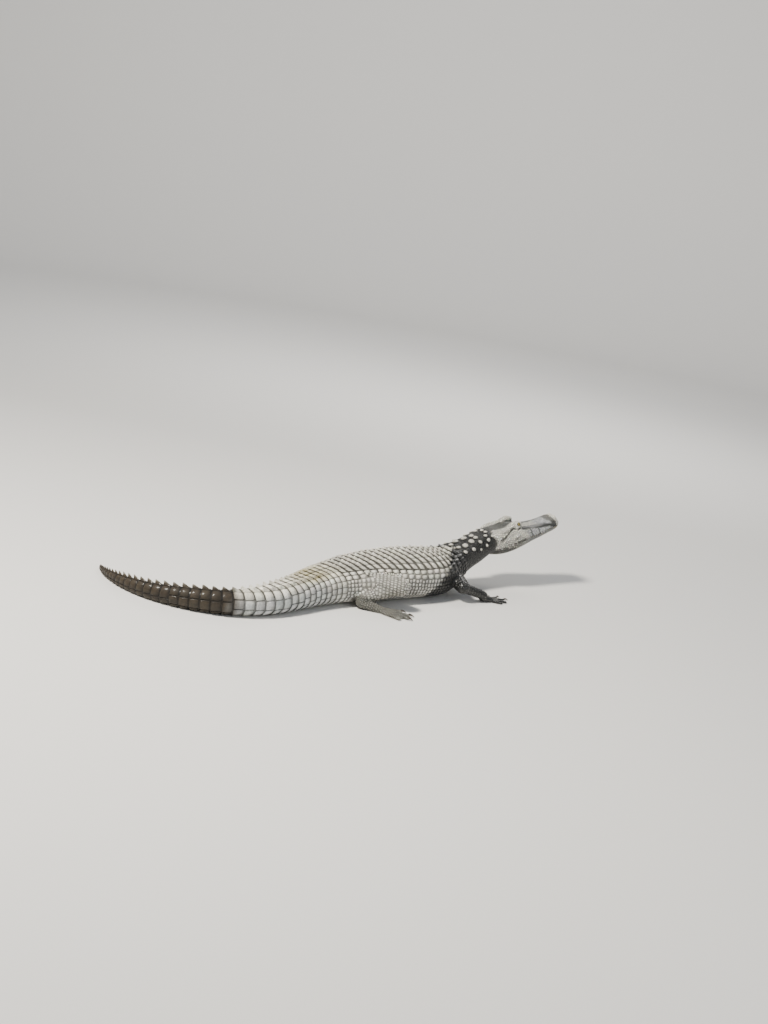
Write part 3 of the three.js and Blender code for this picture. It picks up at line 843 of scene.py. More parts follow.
def makeSkin():
    rough = roughFlesh()
    tree = treeOf(rough)
    wrap = wrapped(rough)
    bm = bmesh.new()
    bm.from_mesh(wrap)
    bm.verts.ensure_lookup_table()
    moveVerts(bm.verts, settle(bmPoints(bm.verts), tree))
    smoothVerts(bm, bm.verts, 0.5)
    refine(bm, lambda spots: headMask(spots) | footMask(spots), tree, 3)
    refine(bm, fineSpots, tree, 2)
    bm.normal_update()
    normals = np.array([vert.normal[:] for vert in bm.verts])
    points = carveHead(bmPoints(bm.verts), normals)
    points = points - normals * coatDepth(points)[:, None]
    points = openEyes(points)
    points[:, 2] = points[:, 2].clip(skinPlan["floorGap"])
    moveVerts(bm.verts, insideBox(points))
    bmesh.ops.dissolve_degenerate(bm, dist=1e-5, edges=bm.edges)
    bmesh.ops.triangulate(bm, faces=[face for face in bm.faces if len(face.verts) > 4])
    mesh = meshOf(bm, "skin", smooth=True)
    bpy.data.meshes.remove(rough)
    bpy.data.meshes.remove(wrap)
    return linked("skin", mesh)


def treeOf(mesh):
    spots = [vert.co[:] for vert in mesh.vertices]
    faces = [tuple(face.vertices) for face in mesh.polygons]
    return BVHTree.FromPolygons(spots, faces)


skin = makeSkin()
skinTree = treeOf(skin.data)
skinFaces = sum(len(face.vertices) - 2 for face in skin.data.polygons)
print("skin", len(skin.data.vertices), "points", skinFaces, "triangles")

# Where a leg's root lifts the body's hide, measured on the skin.
swellPlan = {
    "from": 0.2, "to": 0.54, "around": 0.85, "above": 0.07, "slack": 0.0012, "most": 0.032, "step": 0.012,
}


def measureSwell():
    plan = swellPlan
    arounds = np.linspace(-1, 1, tablePoints.shape[1])
    for row, along in enumerate(tableRows):
        for column, around in enumerate(arounds):
            if not plan["from"] < along < plan["to"] or abs(around) > plan["around"]:
                continue
            point = Vector(tablePoints[row, column])
            normal = Vector(tableNormals[row, column])
            hit = skinTree.ray_cast(point + normal * plan["above"], -normal, plan["above"] + 0.01)[0]
            if hit is not None:
                rise = (hit - point).dot(normal) + skinPlan["coat"] - plan["slack"]
                tableSwell[row, column] = max(rise, 0)


measureSwell()
print("swell measured")


def smoothUnder(along, around, halfAlong, halfAround):
    # whether the hide under a scale lies close enough to the body's own shape
    alongs = along + halfAlong * np.array([0, 1, 1, -1, -1])
    arounds = np.clip(around + halfAround * np.array([0, 1, -1, 1, -1]), -1, 1)
    swells = tableAt(tableSwell, alongs, arounds)
    return swells.max() < swellPlan["most"] and np.ptp(swells) < swellPlan["step"]


# Colours of the hide, linear, dry and wet; the bluish sides and jaw are painted shade, the dark tail partly.
hideTints = {
    "pale": (0.8, 0.775, 0.68),
    "side": (0.6, 0.595, 0.56),
    "tailSide": (0.5, 0.525, 0.53),
    "belly": (0.58, 0.54, 0.43),
    "stain": (0.36, 0.31, 0.12),
    "tailDarkAndShade": (0.034, 0.025, 0.015),
    "wet": (0.017, 0.0175, 0.0165),
    "leg": (0.5, 0.49, 0.44),
    "foot": (0.13, 0.13, 0.115),
    "head": (0.035, 0.037, 0.034),
    "headPale": (0.84, 0.825, 0.735),
    "headSkyShade": (0.6, 0.635, 0.67),
    "throat": (0.4, 0.37, 0.28),
}
# How pale the head is: ranges from the snout tip back, over the mouth line and out from the middle.
headRegions = [
    {"back": (-0.3, 0.085), "high": (-0.01, 0.4), "out": (-1, 1), "pale": 1, "soft": 0.012},
    {"back": (0.09, 0.15), "high": (0.045, 0.4), "out": (-1, 0.1), "pale": 0.2, "soft": 0.012},
    {"back": (0.155, 0.6), "high": (-0.004, 0.4), "out": (-1, 1), "pale": 0.74, "soft": 0.015},
    {"back": (0.55, 0.86), "high": (0.02, 0.2), "out": (0.1, 1), "pale": 0.97, "soft": 0.015},
    {"back": (0.59, 0.82), "high": (0.19, 0.5), "out": (0.065, 1), "pale": 0.92, "soft": 0.012},
    {"back": (0.8, 1.2), "high": (-0.035, 0.19), "out": (0.13, 1), "pale": 0.97, "soft": 0.02},
    {"back": (0.78, 1.04), "high": (0.15, 0.4), "out": (0.09, 1), "pale": 0.85, "soft": 0.015},
    # the lower jaw less pale: partly wet hide, partly painted shade under the upper jaw
    {"back": (0.1, 0.78), "high": (-0.4, -0.006), "out": (-1, 1), "pale": 0.4, "soft": 0.01},
]
# Dark strokes on the head's sides, each along points by back and height over the mouth line.
headStrokes = [
    {
        "line": [
            (0.6, 0.13), (0.54, 0.113), (0.43, 0.099), (0.35, 0.086),
            (0.25, 0.055), (0.16, 0.037), (0.09, 0),
        ],
        "width": 0.014, "strength": 1,
    },
    {"line": [(0.485, 0.09), (0.5, 0.02)], "width": 0.011, "strength": 0.85},
    {"line": [(0.365, 0.08), (0.385, 0.0)], "width": 0.011, "strength": 0.85},
    {"line": [(0.27, 0.05), (0.28, -0.01)], "width": 0.007, "strength": 0.5},
    # painted shade: the dark band behind the eye, along the groove under the skull table's edge
    {
        "line": [(0.62, 0.17), (0.68, 0.15), (0.76, 0.181), (0.823, 0.151), (0.915, 0.11), (1, 0.077)],
        "width": 0.0095, "strength": 0.9,
    },
    {"line": [(0.7, 0.085), (0.78, 0.06)], "width": 0.013, "strength": 0.6},
]
# Where the wet front ends and the dark tail starts, and the stain's place, reach and spread.
markPlan = {
    "frontTop": 0.231, "frontSlope": 0.18, "frontSoft": 0.004,
    "tailDarkFrom": 0.7, "tailDarkTo": 0.728,
    "stain": (0.56, 0.04, 0.3),
    "patchy": 0.12, "fine": 0.08, "belly": (0.7, 0.8), "leg": 0.8, "foot": 0.85, "throat": 0.75,
    "leastPale": 0.06, "headBlotches": 0.22, "lipShade": 0.85, "headThroat": 0.8,
}


def ripple(points, size, seed=0.0):
    # smooth patchiness from -1 to 1 with patches of about this size
    wave = 2 * math.pi / size
    x, y, z = (np.asarray(points)[..., axis] * wave for axis in range(3))
    first = np.sin(x + 1.7 * np.sin(0.8 * y + seed) + seed) * np.cos(1.1 * y + 1.3 * np.sin(0.9 * z))
    second = np.sin(0.7 * z + 1.9 * np.cos(0.6 * x + seed) + 2.1) * np.cos(1.3 * x - 0.8 * y + seed)
    return 0.55 * first + 0.45 * second


bodyKeys = keyTree(tablePoints[::4, ::2].reshape(-1, 3))
keyAlongs = np.repeat(tableRows[::4], tablePoints[:, ::2].shape[1])
keyArounds = np.tile(np.linspace(-1, 1, tablePoints.shape[1])[::2], len(tableRows[::4]))


def bodyPlace(points):
    # share along the body, place round it and distance from its hide
    found = [bodyKeys.find(spot)[1:] for spot in points]
    index = np.array([item[0] for item in found], int)
    return keyAlongs[index], keyArounds[index], np.array([item[1] for item in found])


def limbShare(points, limb):
    # 1 on a limb, 0 away from it
    arm = limb["end"] - limb["start"]
    share = np.clip((points - limb["start"]) @ arm / (arm @ arm), 0, 1)
    away = np.linalg.norm(points - limb["start"] - share[:, None] * arm, axis=1)
    reach = mix(*limb["radii"], share) * 1.3
    return 1 - ramp(away, reach, reach + 0.006)


def legShares(points):
    # how much a point belongs to each kind of leg, and to a foot
    shares = {"hind": np.zeros(len(points)), "fore": np.zeros(len(points)), "foot": np.zeros(len(points))}
    for leg in legs:
        for limb in leg["limbs"] + leg["toes"]:
            share = limbShare(points, limb)
            shares[leg["kind"]] = np.maximum(shares[leg["kind"]], share)
            if limb["part"] in footParts:
                shares["foot"] = np.maximum(shares["foot"], share)
    shares["foot"] = np.maximum(shares["foot"], footMask(points) * 1.0)
    return shares


def tinted(base, tint, share):
    # drawn towards one of the hide's tints
    return mix(base, np.array(hideTints[tint]), np.clip(share, 0, 1)[:, None])


def within(values, limits, soft):
    low, high = limits
    return ramp(values, low - soft, low + soft) * (1 - ramp(values, high - soft, high + soft))


def strokeShare(first, second, stroke):
    # how much points at these two coordinates lie under a stroke
    nearest = np.full(len(first), 9.0)
    for (startOne, startTwo), (endOne, endTwo) in zip(stroke["line"], stroke["line"][1:]):
        runOne, runTwo = endOne - startOne, endTwo - startTwo
        share = ((first - startOne) * runOne + (second - startTwo) * runTwo) / (runOne**2 + runTwo**2)
        share = np.clip(share, 0, 1)
        gap = np.hypot(first - startOne - share * runOne, second - startTwo - share * runTwo)
        nearest = np.minimum(nearest, gap)
    return (1 - ramp(nearest, stroke["width"] * 0.6, stroke["width"] * 1.4)) * stroke["strength"]


def headTint(points):
    back, out, up = headPlace(points)
    high = up - lipLine(back)
    wide = np.abs(out)
    rough = 0.012 * ripple(points, 0.02, 2.0) + 0.007 * ripple(points, 0.009, 5.0)
    pale = np.full(len(points), markPlan["leastPale"])
    for region in headRegions:
        share = (
            within(back + rough, region["back"], region["soft"])
            * within(high + rough, region["high"], region["soft"])
            * within(wide + rough, region["out"], region["soft"])
        )
        pale = mix(pale, region["pale"], share)
    pale = pale * (1 - markPlan["headBlotches"] * ramp(ripple(points, 0.014, 7.0), 0.1, 0.5))
    for stroke in headStrokes:
        pale = pale * (1 - strokeShare(back + rough * 0.5, high + rough * 0.5, stroke) * (wide > 0.06))
    # painted shade: the jaws' sides near the mouth bluish, as if lit only by the sky
    skyLitShade = within(back, (0.14, 0.56), 0.03) * within(high, (-0.1, 0.09), 0.01) * 0.8
    bright = mix(np.array(hideTints["headPale"]), np.array(hideTints["headSkyShade"]), skyLitShade[:, None])
    colour = mix(np.array(hideTints["head"]), bright, np.clip(pale, 0, 1)[:, None])
    gap, strength = lipGap(points)
    colour = colour * (1 - markPlan["lipShade"] * bump(gap, 0, 0.0028) * strength)[:, None]
    under = (1 - ramp(up, jawLow(back) + 0.012, jawLow(back) + 0.04)) * (wide < 0.2)
    colour = tinted(colour, "throat", under * markPlan["headThroat"])
    return colour, 0.75 - 0.6 * pale


def hideMarks(points):
    # the hide's colour, with its painted shade, and wetness at points, the same for the skin and all scales
    points = np.asarray(points, float)
    along, around, gap = bodyPlace(points)
    away = np.abs(around)
    plan = markPlan
    patchy = ripple(points, 0.11)
    fine = ripple(points, 0.035, 3.0)
    colour = np.array(hideTints["pale"]) * (1 + plan["patchy"] * patchy + plan["fine"] * fine)[:, None]
    tailward = ramp(along, 0.5, 0.6)
    # painted shade: the sides greyer and bluer than the top, as if lit only by the sky
    sideways = ramp(away + 0.04 * fine, mix(0.34, 0.2, tailward), 0.5)
    colour = tinted(colour, "side", sideways)
    colour = tinted(colour, "tailSide", sideways * tailward)
    colour = tinted(colour, "belly", ramp(away, *plan["belly"]) * (1 - 0.6 * tailward))
    place, reach, spread = plan["stain"]
    stain = bump(along, place, reach) * (1 - ramp(away, spread * 0.6, spread)) * (0.65 + 0.35 * fine)
    colour = tinted(colour, "stain", stain)
    # the tail's rear darker: partly its own darker hide, partly painted shade
    dark = ramp(along + 0.008 * patchy, plan["tailDarkFrom"], plan["tailDarkTo"])
    colour = tinted(colour, "tailDarkAndShade", dark * (1 - 0.35 * ramp(away, 0.75, 0.9)))
    colour = colour * (1 + 0.3 * fine * dark)[:, None]
    wet = 0.08 + 0.25 * dark
    shares = legShares(points)
    onLeg = ramp(gap, 0.003, 0.009)
    colour = tinted(colour, "leg", shares["hind"] * onLeg * plan["leg"])
    colour = tinted(colour, "foot", shares["foot"] * (shares["hind"] > 0) * plan["foot"])
    edge = plan["frontTop"] + plan["frontSlope"] * np.clip(away - 0.03, 0, 0.58) + 0.004 * fine
    front = 1 - ramp(along, edge - plan["frontSoft"], edge + plan["frontSoft"])
    # the forelegs as black as the wet neck: partly wet hide, partly painted shade under the chest
    front = np.maximum(front, np.minimum(shares["fore"] * 3, 1) * (along < 0.36))
    colour = tinted(colour, "wet", front)
    throat = ramp(away, 0.72, 0.86) * front * (1 - ramp(shares["fore"], 0.1, 0.5))
    colour = tinted(colour, "throat", throat * plan["throat"])
    wet = mix(wet, 1, front)
    headColour, headWet = headTint(points)
    back = headPlace(points)[0]
    onHead = headMask(points, 0.12) * (1 - ramp(back + 0.02 * fine, 1.04, 1.09))
    colour = mix(colour, headColour, onHead[:, None])
    wet = mix(wet, headWet, onHead)
    return colour.clip(0, 1), wet.clip(0, 1)


def addLayer(mesh, name, kind, values):
    layer = mesh.attributes.new(name, kind, "POINT")
    field = {"FLOAT_COLOR": "color", "FLOAT_VECTOR": "vector"}.get(kind, "value")
    layer.data.foreach_set(field, np.ascontiguousarray(values, np.float32).ravel())


def paint(mesh, colour, wet, rise):
    # what the materials read: the markings with their painted shade, wetness, and height over the skin,
    # painted as shade where low
    addLayer(mesh, "hideTint", "FLOAT_COLOR", np.concatenate([colour, np.ones((len(colour), 1))], 1))
    addLayer(mesh, "hideWet", "FLOAT", wet)
    addLayer(mesh, "hideRiseAndShade", "FLOAT", rise)


def finishPiece(piece, material, nodes=()):
    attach(piece, "root")
    if nodes:
        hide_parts(*nodes)
    piece.data.materials.append(material)


# Shapes of one scale, made once and laid many times.
def readTemplate(bm):
    bmesh.ops.triangulate(bm, faces=bm.faces)
    bm.verts.index_update()
    spots = bmPoints(bm.verts)
    faces = np.array([[vert.index for vert in face.verts] for face in bm.faces])
    bm.free()
    return spots, faces


def slabTemplate(stopsAlong, stopsAcross):
    # a closed square slab: z is 0 at the root and 1 on top, where it has these rows and columns
    bm = bmesh.new()
    bmesh.ops.create_grid(bm, x_segments=len(stopsAlong) - 1, y_segments=len(stopsAcross) - 1, size=1)
    flat = bmPoints(bm.verts)
    for vert in bm.verts:
        row = round((vert.co.x - flat[:, 0].min()) / np.ptp(flat[:, 0]) * (len(stopsAlong) - 1))
        column = round((vert.co.y - flat[:, 1].min()) / np.ptp(flat[:, 1]) * (len(stopsAcross) - 1))
        vert.co = (stopsAlong[row], stopsAcross[column], 0)
    root = bm.faces[:]
    thicken(bm, root, 1)
    bmesh.ops.dissolve_faces(bm, faces=root, use_verts=True)
    bmesh.ops.recalc_face_normals(bm, faces=bm.faces)
    return readTemplate(bm)


def studTemplate(corners):
    # a low closed dome with this many corners: rings from the root to the top
    bm = bmesh.new()
    bmesh.ops.create_uvsphere(bm, u_segments=corners, v_segments=4, radius=1)
    return readTemplate(bm)


keelStops = (-1, -0.9, -0.45, 0, 0.35, 0.66, 0.9, 1)
keelColumns = (-1, -0.9, -0.5, -0.17, 0, 0.17, 0.5, 0.9, 1)
finColumns = (-1, -0.9, -0.4, -0.15, 0, 0.15, 0.4, 0.9, 1)
plainStops = (-1, -0.82, 0.1, 0.82, 1)
slabs = {
    "keeled": slabTemplate(keelStops, keelColumns),
    "fin": slabTemplate(keelStops, finColumns),
    "plain": slabTemplate(plainStops, plainStops),
}

# The coat's map: where the body, the head and the legs lie on it, and its scale per metre.
unwrapPlan = {
    "span": 0.96, "body": (0.02, 0.5), "head": (0.06, 0.87), "leg": (0.03, 0.06),
    "legStep": 0.24, "limbStep": 0.03, "limbUp": 0.02,
}
unwrapScale = unwrapPlan["span"] / bodyPlan["length"]


def pieceFromArrays(name, points, faces, colour, wet, rise, uvs):
    # points is scales by corners, faces one scale's triangles
    count, corners = points.shape[:2]
    points = insideBox(points)
    everyFace = faces[None] + np.arange(count)[:, None, None] * corners
    first, second, third = (points - points.mean(1, keepdims=True))[:, faces].transpose(2, 0, 1, 3)
    inward = (first * np.cross(second, third)).sum((1, 2)) < 0
    everyFace[inward] = everyFace[inward][:, :, ::-1]  # every scale's faces point outwards
    everyFace = everyFace.reshape(-1, 3)
    mesh = bpy.data.meshes.new(name)
    mesh.vertices.add(count * corners)
    mesh.vertices.foreach_set("co", np.ascontiguousarray(points, np.float32).ravel())
    mesh.loops.add(everyFace.size)
    mesh.loops.foreach_set("vertex_index", everyFace.ravel().astype(np.int32))
    mesh.polygons.add(len(everyFace))
    mesh.polygons.foreach_set("loop_start", np.arange(0, everyFace.size, 3, dtype=np.int32))
    mesh.polygons.foreach_set("use_smooth", np.ones(len(everyFace), bool))
    mesh.update(calc_edges=True)
    mesh.validate()
    layer = mesh.uv_layers.new(name="OFBake")
    layer.data.foreach_set("uv", uvs.reshape(-1, 2)[everyFace.ravel()].astype(np.float32).ravel())
    paint(mesh, colour.reshape(-1, 3), wet.reshape(-1), rise.reshape(-1))
    print(name, count, "scales", len(everyFace), "triangles")
    return linked(name, mesh)


def varied(colour, spread, warmth, rng):
    # each scale a little lighter or darker, and a little warmer or cooler
    shade = 1 + spread * rng.standard_normal((len(colour), 1, 1)).clip(-1.8, 1.8)
    return colour * shade * (1 + warmth * rng.standard_normal((len(colour), 1, 3)).clip(-2, 2))


def slabHeights(x, y, top, plan):
    # how high a slab stands at each of its points, in metres
    edge = np.maximum(np.abs(x), np.abs(y))
    inner = np.clip((1 - edge) / plan["bevel"], 0, 1)
    crown = plan["rim"] + (plan["plateau"] - plan["rim"]) * inner * (2 - inner) + plan["tilt"] * x
    slope = ramp(x, -1, plan["peak"]) * (1 - plan["drop"] * ramp(x, plan["peak"], 1))
    keel = bump(y, 0, plan["keelWidth"]) * slope * inner
    return np.where(top > 0.5, crown, -plan["sink"]), keel * (top > 0.5)


def outlines(x, y, plan, count, rng):
    # every slab's own outline: its corners rounded, its edge a little uneven
    disc = plan["disc"]
    roundX = x * mix(1, np.sqrt(1 - y**2 / 2), disc)
    roundY = y * mix(1, np.sqrt(1 - x**2 / 2), disc)
    angle = np.arctan2(y, x)[None]
    phases = rng.uniform(0, 2 * math.pi, (2, count, 1))
    swing = np.sin(2 * angle + phases[0]) * 0.6 + np.sin(3 * angle + phases[1]) * 0.4
    swing = 1 + plan["uneven"] * swing * np.hypot(x, y)[None]
    return roundX[None] * swing, roundY[None] * swing


def laySlabs(name, kind, cells, plan, surface, uvOffset, rng):
    # cells: along, around, half sizes, keel, skew and turn of each slab, as arrays
    spots, faces = slabs[kind]
    x, y, top = spots.T
    low, keel = slabHeights(x, y, top, plan)
    high = keel[None] * cells["keel"][:, None]
    lift = low[None] + high
    count = len(cells["along"])
    xs, ys = outlines(x, y, plan, count, rng)
    long = cells["halfAlong"][:, None] * plan["length"] * (xs + cells["skew"][:, None] * ys)
    wide = cells["halfAround"][:, None] * plan["girth"] * ys
    turn = cells["turn"][:, None]
    along = cells["along"][:, None] + (long * np.cos(turn) - wide * np.sin(turn)) / plan["length"]
    around = cells["around"][:, None] + (long * np.sin(turn) + wide * np.cos(turn)) / plan["girth"]
    points = surface(along, around, lift, high * plan["lean"])
    middle = np.argmin(np.hypot(x, y) + 2 * (1 - top))
    reach = np.linalg.norm((points - points[:, middle:middle + 1])[:, top < 0.5], axis=-1).max(1)
    expected = np.hypot(long, wide).max(1) + plan["sink"] + cells["keel"]
    good = np.isfinite(points).all(axis=(1, 2)) & (np.nan_to_num(reach, nan=9) < expected * plan["stretch"])
    points = points[good]
    colour, wet = hideMarks(points.reshape(-1, 3))
    colour = varied(colour.reshape(*points.shape), plan["spread"], plan["warmth"], rng)
    # painted highlight along each keel, painted shade on the scale beside it
    ridge = np.where(top > 0.5, mix(1 - plan["ridgePaintedLight"], 1 + plan["ridgePaintedLight"] * 0.4, keel), 1)
    colour = (colour * ridge[None, :, None]).clip(0.004, 0.9)
    share = (low - plan["tilt"] * x + plan["sink"]) / (plan["plateau"] + plan["sink"])
    # painted shadow of the row ahead over each scale's front
    front = mix(plan["frontShade"], 1, ramp(x, -1, -0.66))
    rise = np.clip((share * 0.78 + keel * 0.22) * front, 0, 1)
    rise = np.repeat(rise[None], len(points), 0)
    middles = np.stack([
        cells["along"][good] * plan["length"], cells["around"][good] * plan["girth"],
    ], 1) * unwrapScale + np.array(uvOffset)
    local = np.stack([long[good], wide[good]], -1) * np.where(top > 0.5, 0.94, 1)[None, :, None]
    uvs = middles[:, None] + local * unwrapScale
    return pieceFromArrays(name, points, faces, colour, wet, rise, uvs)


def layOnBody(name, kind, cells, plan, rng):
    return laySlabs(name, kind, cells, plan, bodySurface, unwrapPlan["body"], rng)


def slabCell(along, around, halfAlong, halfAround, keel, skew=0, turn=0):
    return {
        "along": along, "around": around, "halfAlong": halfAlong, "halfAround": halfAround,
        "keel": keel, "skew": skew, "turn": turn,
    }


def cellArrays(cells):
    return {key: np.array([cell[key] for cell in cells], float) for key in cells[0]}


# What all scutes and scales of the body share, in metres and shares of a slab.
slabPlan = {
    "length": bodyPlan["length"], "girth": 0.35, "sink": 0.0036, "rim": -0.0014, "plateau": 0.0003,
    "uneven": 0.012, "stretch": 1.5, "ridgePaintedLight": 0.1, "lean": 0.3, "drop": 0.5,
    "warmth": 0.012,
}

# Dorsal shield: rows of keeled scutes from the shoulders onto the tail's base.
dorsalPlan = {
    **slabPlan,
    "edge": (
        (0.232, 0.55), (0.262, 0.78), (0.3, 0.85), (0.353, 0.84), (0.394, 0.76), (0.434, 0.65), (0.51, 0.56),
    ),
    "plateWidth": 0.215,
    "keels": (0.0086, 0.0084, 0.0074, 0.0056),
    "gap": 0.056, "rowGap": 0.13, "bevel": 0.3, "tilt": 0.0026, "peak": 0.66, "drop": 0.35,
    "keelWidth": 0.17, "disc": 0.28, "frontShade": 0.25, "spread": 0.08, "ridgePaintedLight": 0.26,
}


def shieldBorders(along):
    # the borders between the shield's columns on one side
    edge = float(np.interp(along, *zip(*dorsalPlan["edge"])))
    count = round(edge / dorsalPlan["plateWidth"])
    return [aroundOf(along, edge * step / count) for step in range(count + 1)]


def dorsalCells(rng):
    cells = []
    plan = dorsalPlan
    for start, end in zip(trunkEdges, trunkEdges[1:]):
        middle = (start + end) / 2
        borders = shieldBorders(middle)
        half = (end - start) / 2
        for column, (first, second) in enumerate(zip(borders, borders[1:])):
            wide = (second - first) / 2
            for side in (1, -1):
                around = side * (first + second) / 2
                if not smoothUnder(middle, around, half, wide):
                    continue
                cells.append(slabCell(
                    middle + rng.normal(0, 0.0002), around, half * (1 - plan["rowGap"]),
                    wide * (1 - plan["gap"]), plan["keels"][column] * rng.uniform(0.85, 1.1),
                    skew=-side * 0.05 * column,
                ))
    return cellArrays(cells)


pieces = {}
rng = np.random.default_rng(11)
pieces["dorsal"] = layOnBody("dorsalScutes", "keeled", dorsalCells(rng), dorsalPlan, rng)

# Tail: whorls of scutes with a double crest that joins into one.
tailPlan = {
    **slabPlan, "girth": 0.26,
    "gap": 0.07, "bevel": 0.17, "rim": -0.001, "plateau": 0.0002, "tilt": 0.0012, "peak": 0.62,
    "keelWidth": 0.22, "lean": 0.55, "disc": 0.2, "frontShade": 0.3, "stretch": 1.6, "spread": 0.09,
    "sideWidth": (0.02, 0.036), "sideKeel": 0.0012,
    "crestWide": 0.013, "crestShare": 0.16, "crestOut": 0.38, "joining": 0.09,
}


def whorls():
    # for each whorl: its middle and half length, the half girth, and the crest's half width and place
    plan = tailPlan
    joint = bodyPlan["crestJoin"]
    for start, end in zip(tailEdges, tailEdges[1:]):
        middle = (start + end) / 2
        girth = float(halfGirth(middle))
        crestHalf = min(plan["crestWide"], girth * plan["crestShare"]) / girth / 2
        crest = aroundOf(middle, plan["crestOut"]) * (1 - ramp(middle, joint - plan["joining"], joint))
        half = (end - start) / 2 * (1 - plan["gap"])
        yield middle, half, girth, crestHalf, 0 if middle > joint else float(crest)


def crestCells(rng):
    cells = []
    for middle, half, _, crestHalf, crest in whorls():
        tall = mix(0.006, bodyPlan["crest"], ramp(middle, 0.5, 0.64)) * (1 - 0.75 * ramp(middle, 0.88, 1))
        for around in ((crest, -crest) if crest else (0,)):
            cells.append(slabCell(middle, around, half, crestHalf, float(tall) * rng.uniform(0.92, 1.05)))
    return cellArrays(cells)


def tailSideCells(rng):
    cells = []
    plan = tailPlan
    for middle, half, girth, crestHalf, crest in whorls():
        between = crest - crestHalf
        if between > 0.02:
            for side in ((1, -1) if between * girth > 0.012 else (0,)):
                wide = between * (0.46 if side else 0.94)
                cells.append(slabCell(middle, side * between / 2, half, wide, plan["sideKeel"] * 2))
        first = crest + crestHalf
        width = mix(*plan["sideWidth"], ramp(middle, 0.56, 0.66))
        count = max(2, round((1 - first) * girth / width))
        borders = [mix(first, 1, (step / count) ** 0.92) for step in range(count + 1)]
        for column, (inner, outer) in enumerate(zip(borders, borders[1:])):
            keel = plan["sideKeel"] * (1.6 if column == 0 else 1)
            for side in (1, -1):
                cells.append(slabCell(
                    middle + rng.normal(0, 0.00015), side * (inner + outer) / 2, half,
                    (outer - inner) / 2 * 0.96, keel * rng.uniform(0.6, 1.2),
                ))
    return cellArrays(cells)


rng = np.random.default_rng(12)
crestPlan = {**tailPlan, "keelWidth": 0.34, "lean": 0.35, "drop": 0.35}
pieces["crest"] = layOnBody("tailCrest", "fin", crestCells(rng), crestPlan, rng)
pieces["tailSide"] = layOnBody("tailScales", "plain", tailSideCells(rng), tailPlan, rng)

# Flanks and belly: two rows of scales for each row of the shield.
flankPlan = {
    **slabPlan,
    "rows": 2, "width": 0.0135, "largeRows": 2, "largeWidth": 0.018, "bellyFrom": 0.7, "bellyWidth": 0.021,
    "gap": 0.07, "bevel": 0.42, "plateau": 0.0004, "tilt": 0.0004, "peak": 0.3, "keelWidth": 0.5,
    "keel": 0.0012, "lean": 0, "disc": 0.45, "uneven": 0.04, "frontShade": 0.35, "spread": 0.12,
    "edge": 0.006,
}
bellyPlan = {
    **flankPlan, "bevel": 0.2, "disc": 0.15, "uneven": 0.01, "plateau": 0.0002, "keelWidth": 0.6,
    "tilt": 0, "spread": 0.06,
}


def flankZones(middle, belly):
    # bands of equal scales: from and to round the body, scales for each row of the shield, and width
    plan = flankPlan
    if belly:
        return [(plan["bellyFrom"], 1, plan["rows"], plan["bellyWidth"])]
    shield = shieldBorders(middle)[-1] + plan["edge"]
    large = plan["largeRows"] * plan["largeWidth"] / float(halfGirth(middle))
    return [
        (shield, shield + large, 1, plan["largeWidth"]),
        (shield + large, plan["bellyFrom"], plan["rows"], plan["width"]),
    ]


def bellyCell(middle, around, half, wide):
    gap = 1 - flankPlan["gap"]
    return slabCell(middle, around, half * gap, wide * gap, 0)


def flankCell(middle, around, half, wide, side, shift, rng):
    # a little out of line, as on the photo's flanks
    gap = 1 - flankPlan["gap"]
    return slabCell(
        middle + (rng.normal(0, 0.05) + shift) * half,
        around + side * rng.normal(0, 0.03) * wide * 2,
        half * gap * rng.uniform(0.92, 1),
        wide * gap * rng.uniform(0.92, 1),
        flankPlan["keel"] * rng.uniform(0.5, 1.3),
    )


def flankCells(rng, belly):
    cells = []
    for start, end in zip(trunkEdges, trunkEdges[1:]):
        girth = float(halfGirth((start + end) / 2))
        for first, last, parts, width in flankZones((start + end) / 2, belly):
            count = round((last - first) * girth / width)
            if count < 1:
                continue
            step = (last - first) / count
            for part in range(parts):
                low = mix(start, end, part / parts)
                high = mix(start, end, (part + 1) / parts)
                for column in range(count):
                    around = first + step * (column + 0.5)
                    shift = 0 if parts == 1 else (column % 2 - 0.5) * 0.3
                    for side in (1, -1):
                        place = (low + high) / 2, side * around, (high - low) / 2, step / 2
                        if not smoothUnder(*place):
                            continue
                        cells.append(bellyCell(*place) if belly else flankCell(*place, side, shift, rng))
    return cellArrays(cells)


rng = np.random.default_rng(13)
pieces["flank"] = layOnBody("flankScales", "plain", flankCells(rng, False), flankPlan, rng)
pieces["belly"] = layOnBody("bellyScales", "plain", flankCells(rng, True), bellyPlan, rng)

# Neck shields: places along the body and round it, half sizes in metres, and keel height.
nuchalPlan = {
    **slabPlan, "girth": 0.17,
    "rows": [
        (0.1955, 0.115, 0.0135, 0.0125, 0.0085), (0.2125, 0.15, 0.013, 0.012, 0.009),
        (0.2045, 0.3, 0.009, 0.0085, 0.005), (0.181, 0.06, 0.0105, 0.0095, 0.006),
        (0.1835, 0.24, 0.0085, 0.008, 0.0045), (0.1655, 0.16, 0.0075, 0.007, 0.004),
        (0.158, 0.06, 0.0075, 0.007, 0.004), (0.1575, 0.25, 0.007, 0.0065, 0.0035),
        (0.168, 0.3, 0.008, 0.0075, 0.004), (0.1755, 0.37, 0.006, 0.006, 0.003),
        (0.1915, 0.37, 0.006, 0.0055, 0.003), (0.2265, 0.08, 0.0095, 0.009, 0.005),
        (0.224, 0.26, 0.009, 0.008, 0.004),
    ],
    "bevel": 0.5, "rim": 0.0002, "plateau": 0.0022, "tilt": 0.0004, "peak": 0.45, "drop": 0.4,
    "keelWidth": 0.34, "disc": 1, "uneven": 0.1, "frontShade": 0.8, "stretch": 1.8, "spread": 0.18,
    "ridgePaintedLight": 0,
    "paleness": 0.8, "tint": (0.74, 0.72, 0.64), "over": (0.42, 0.8),
}


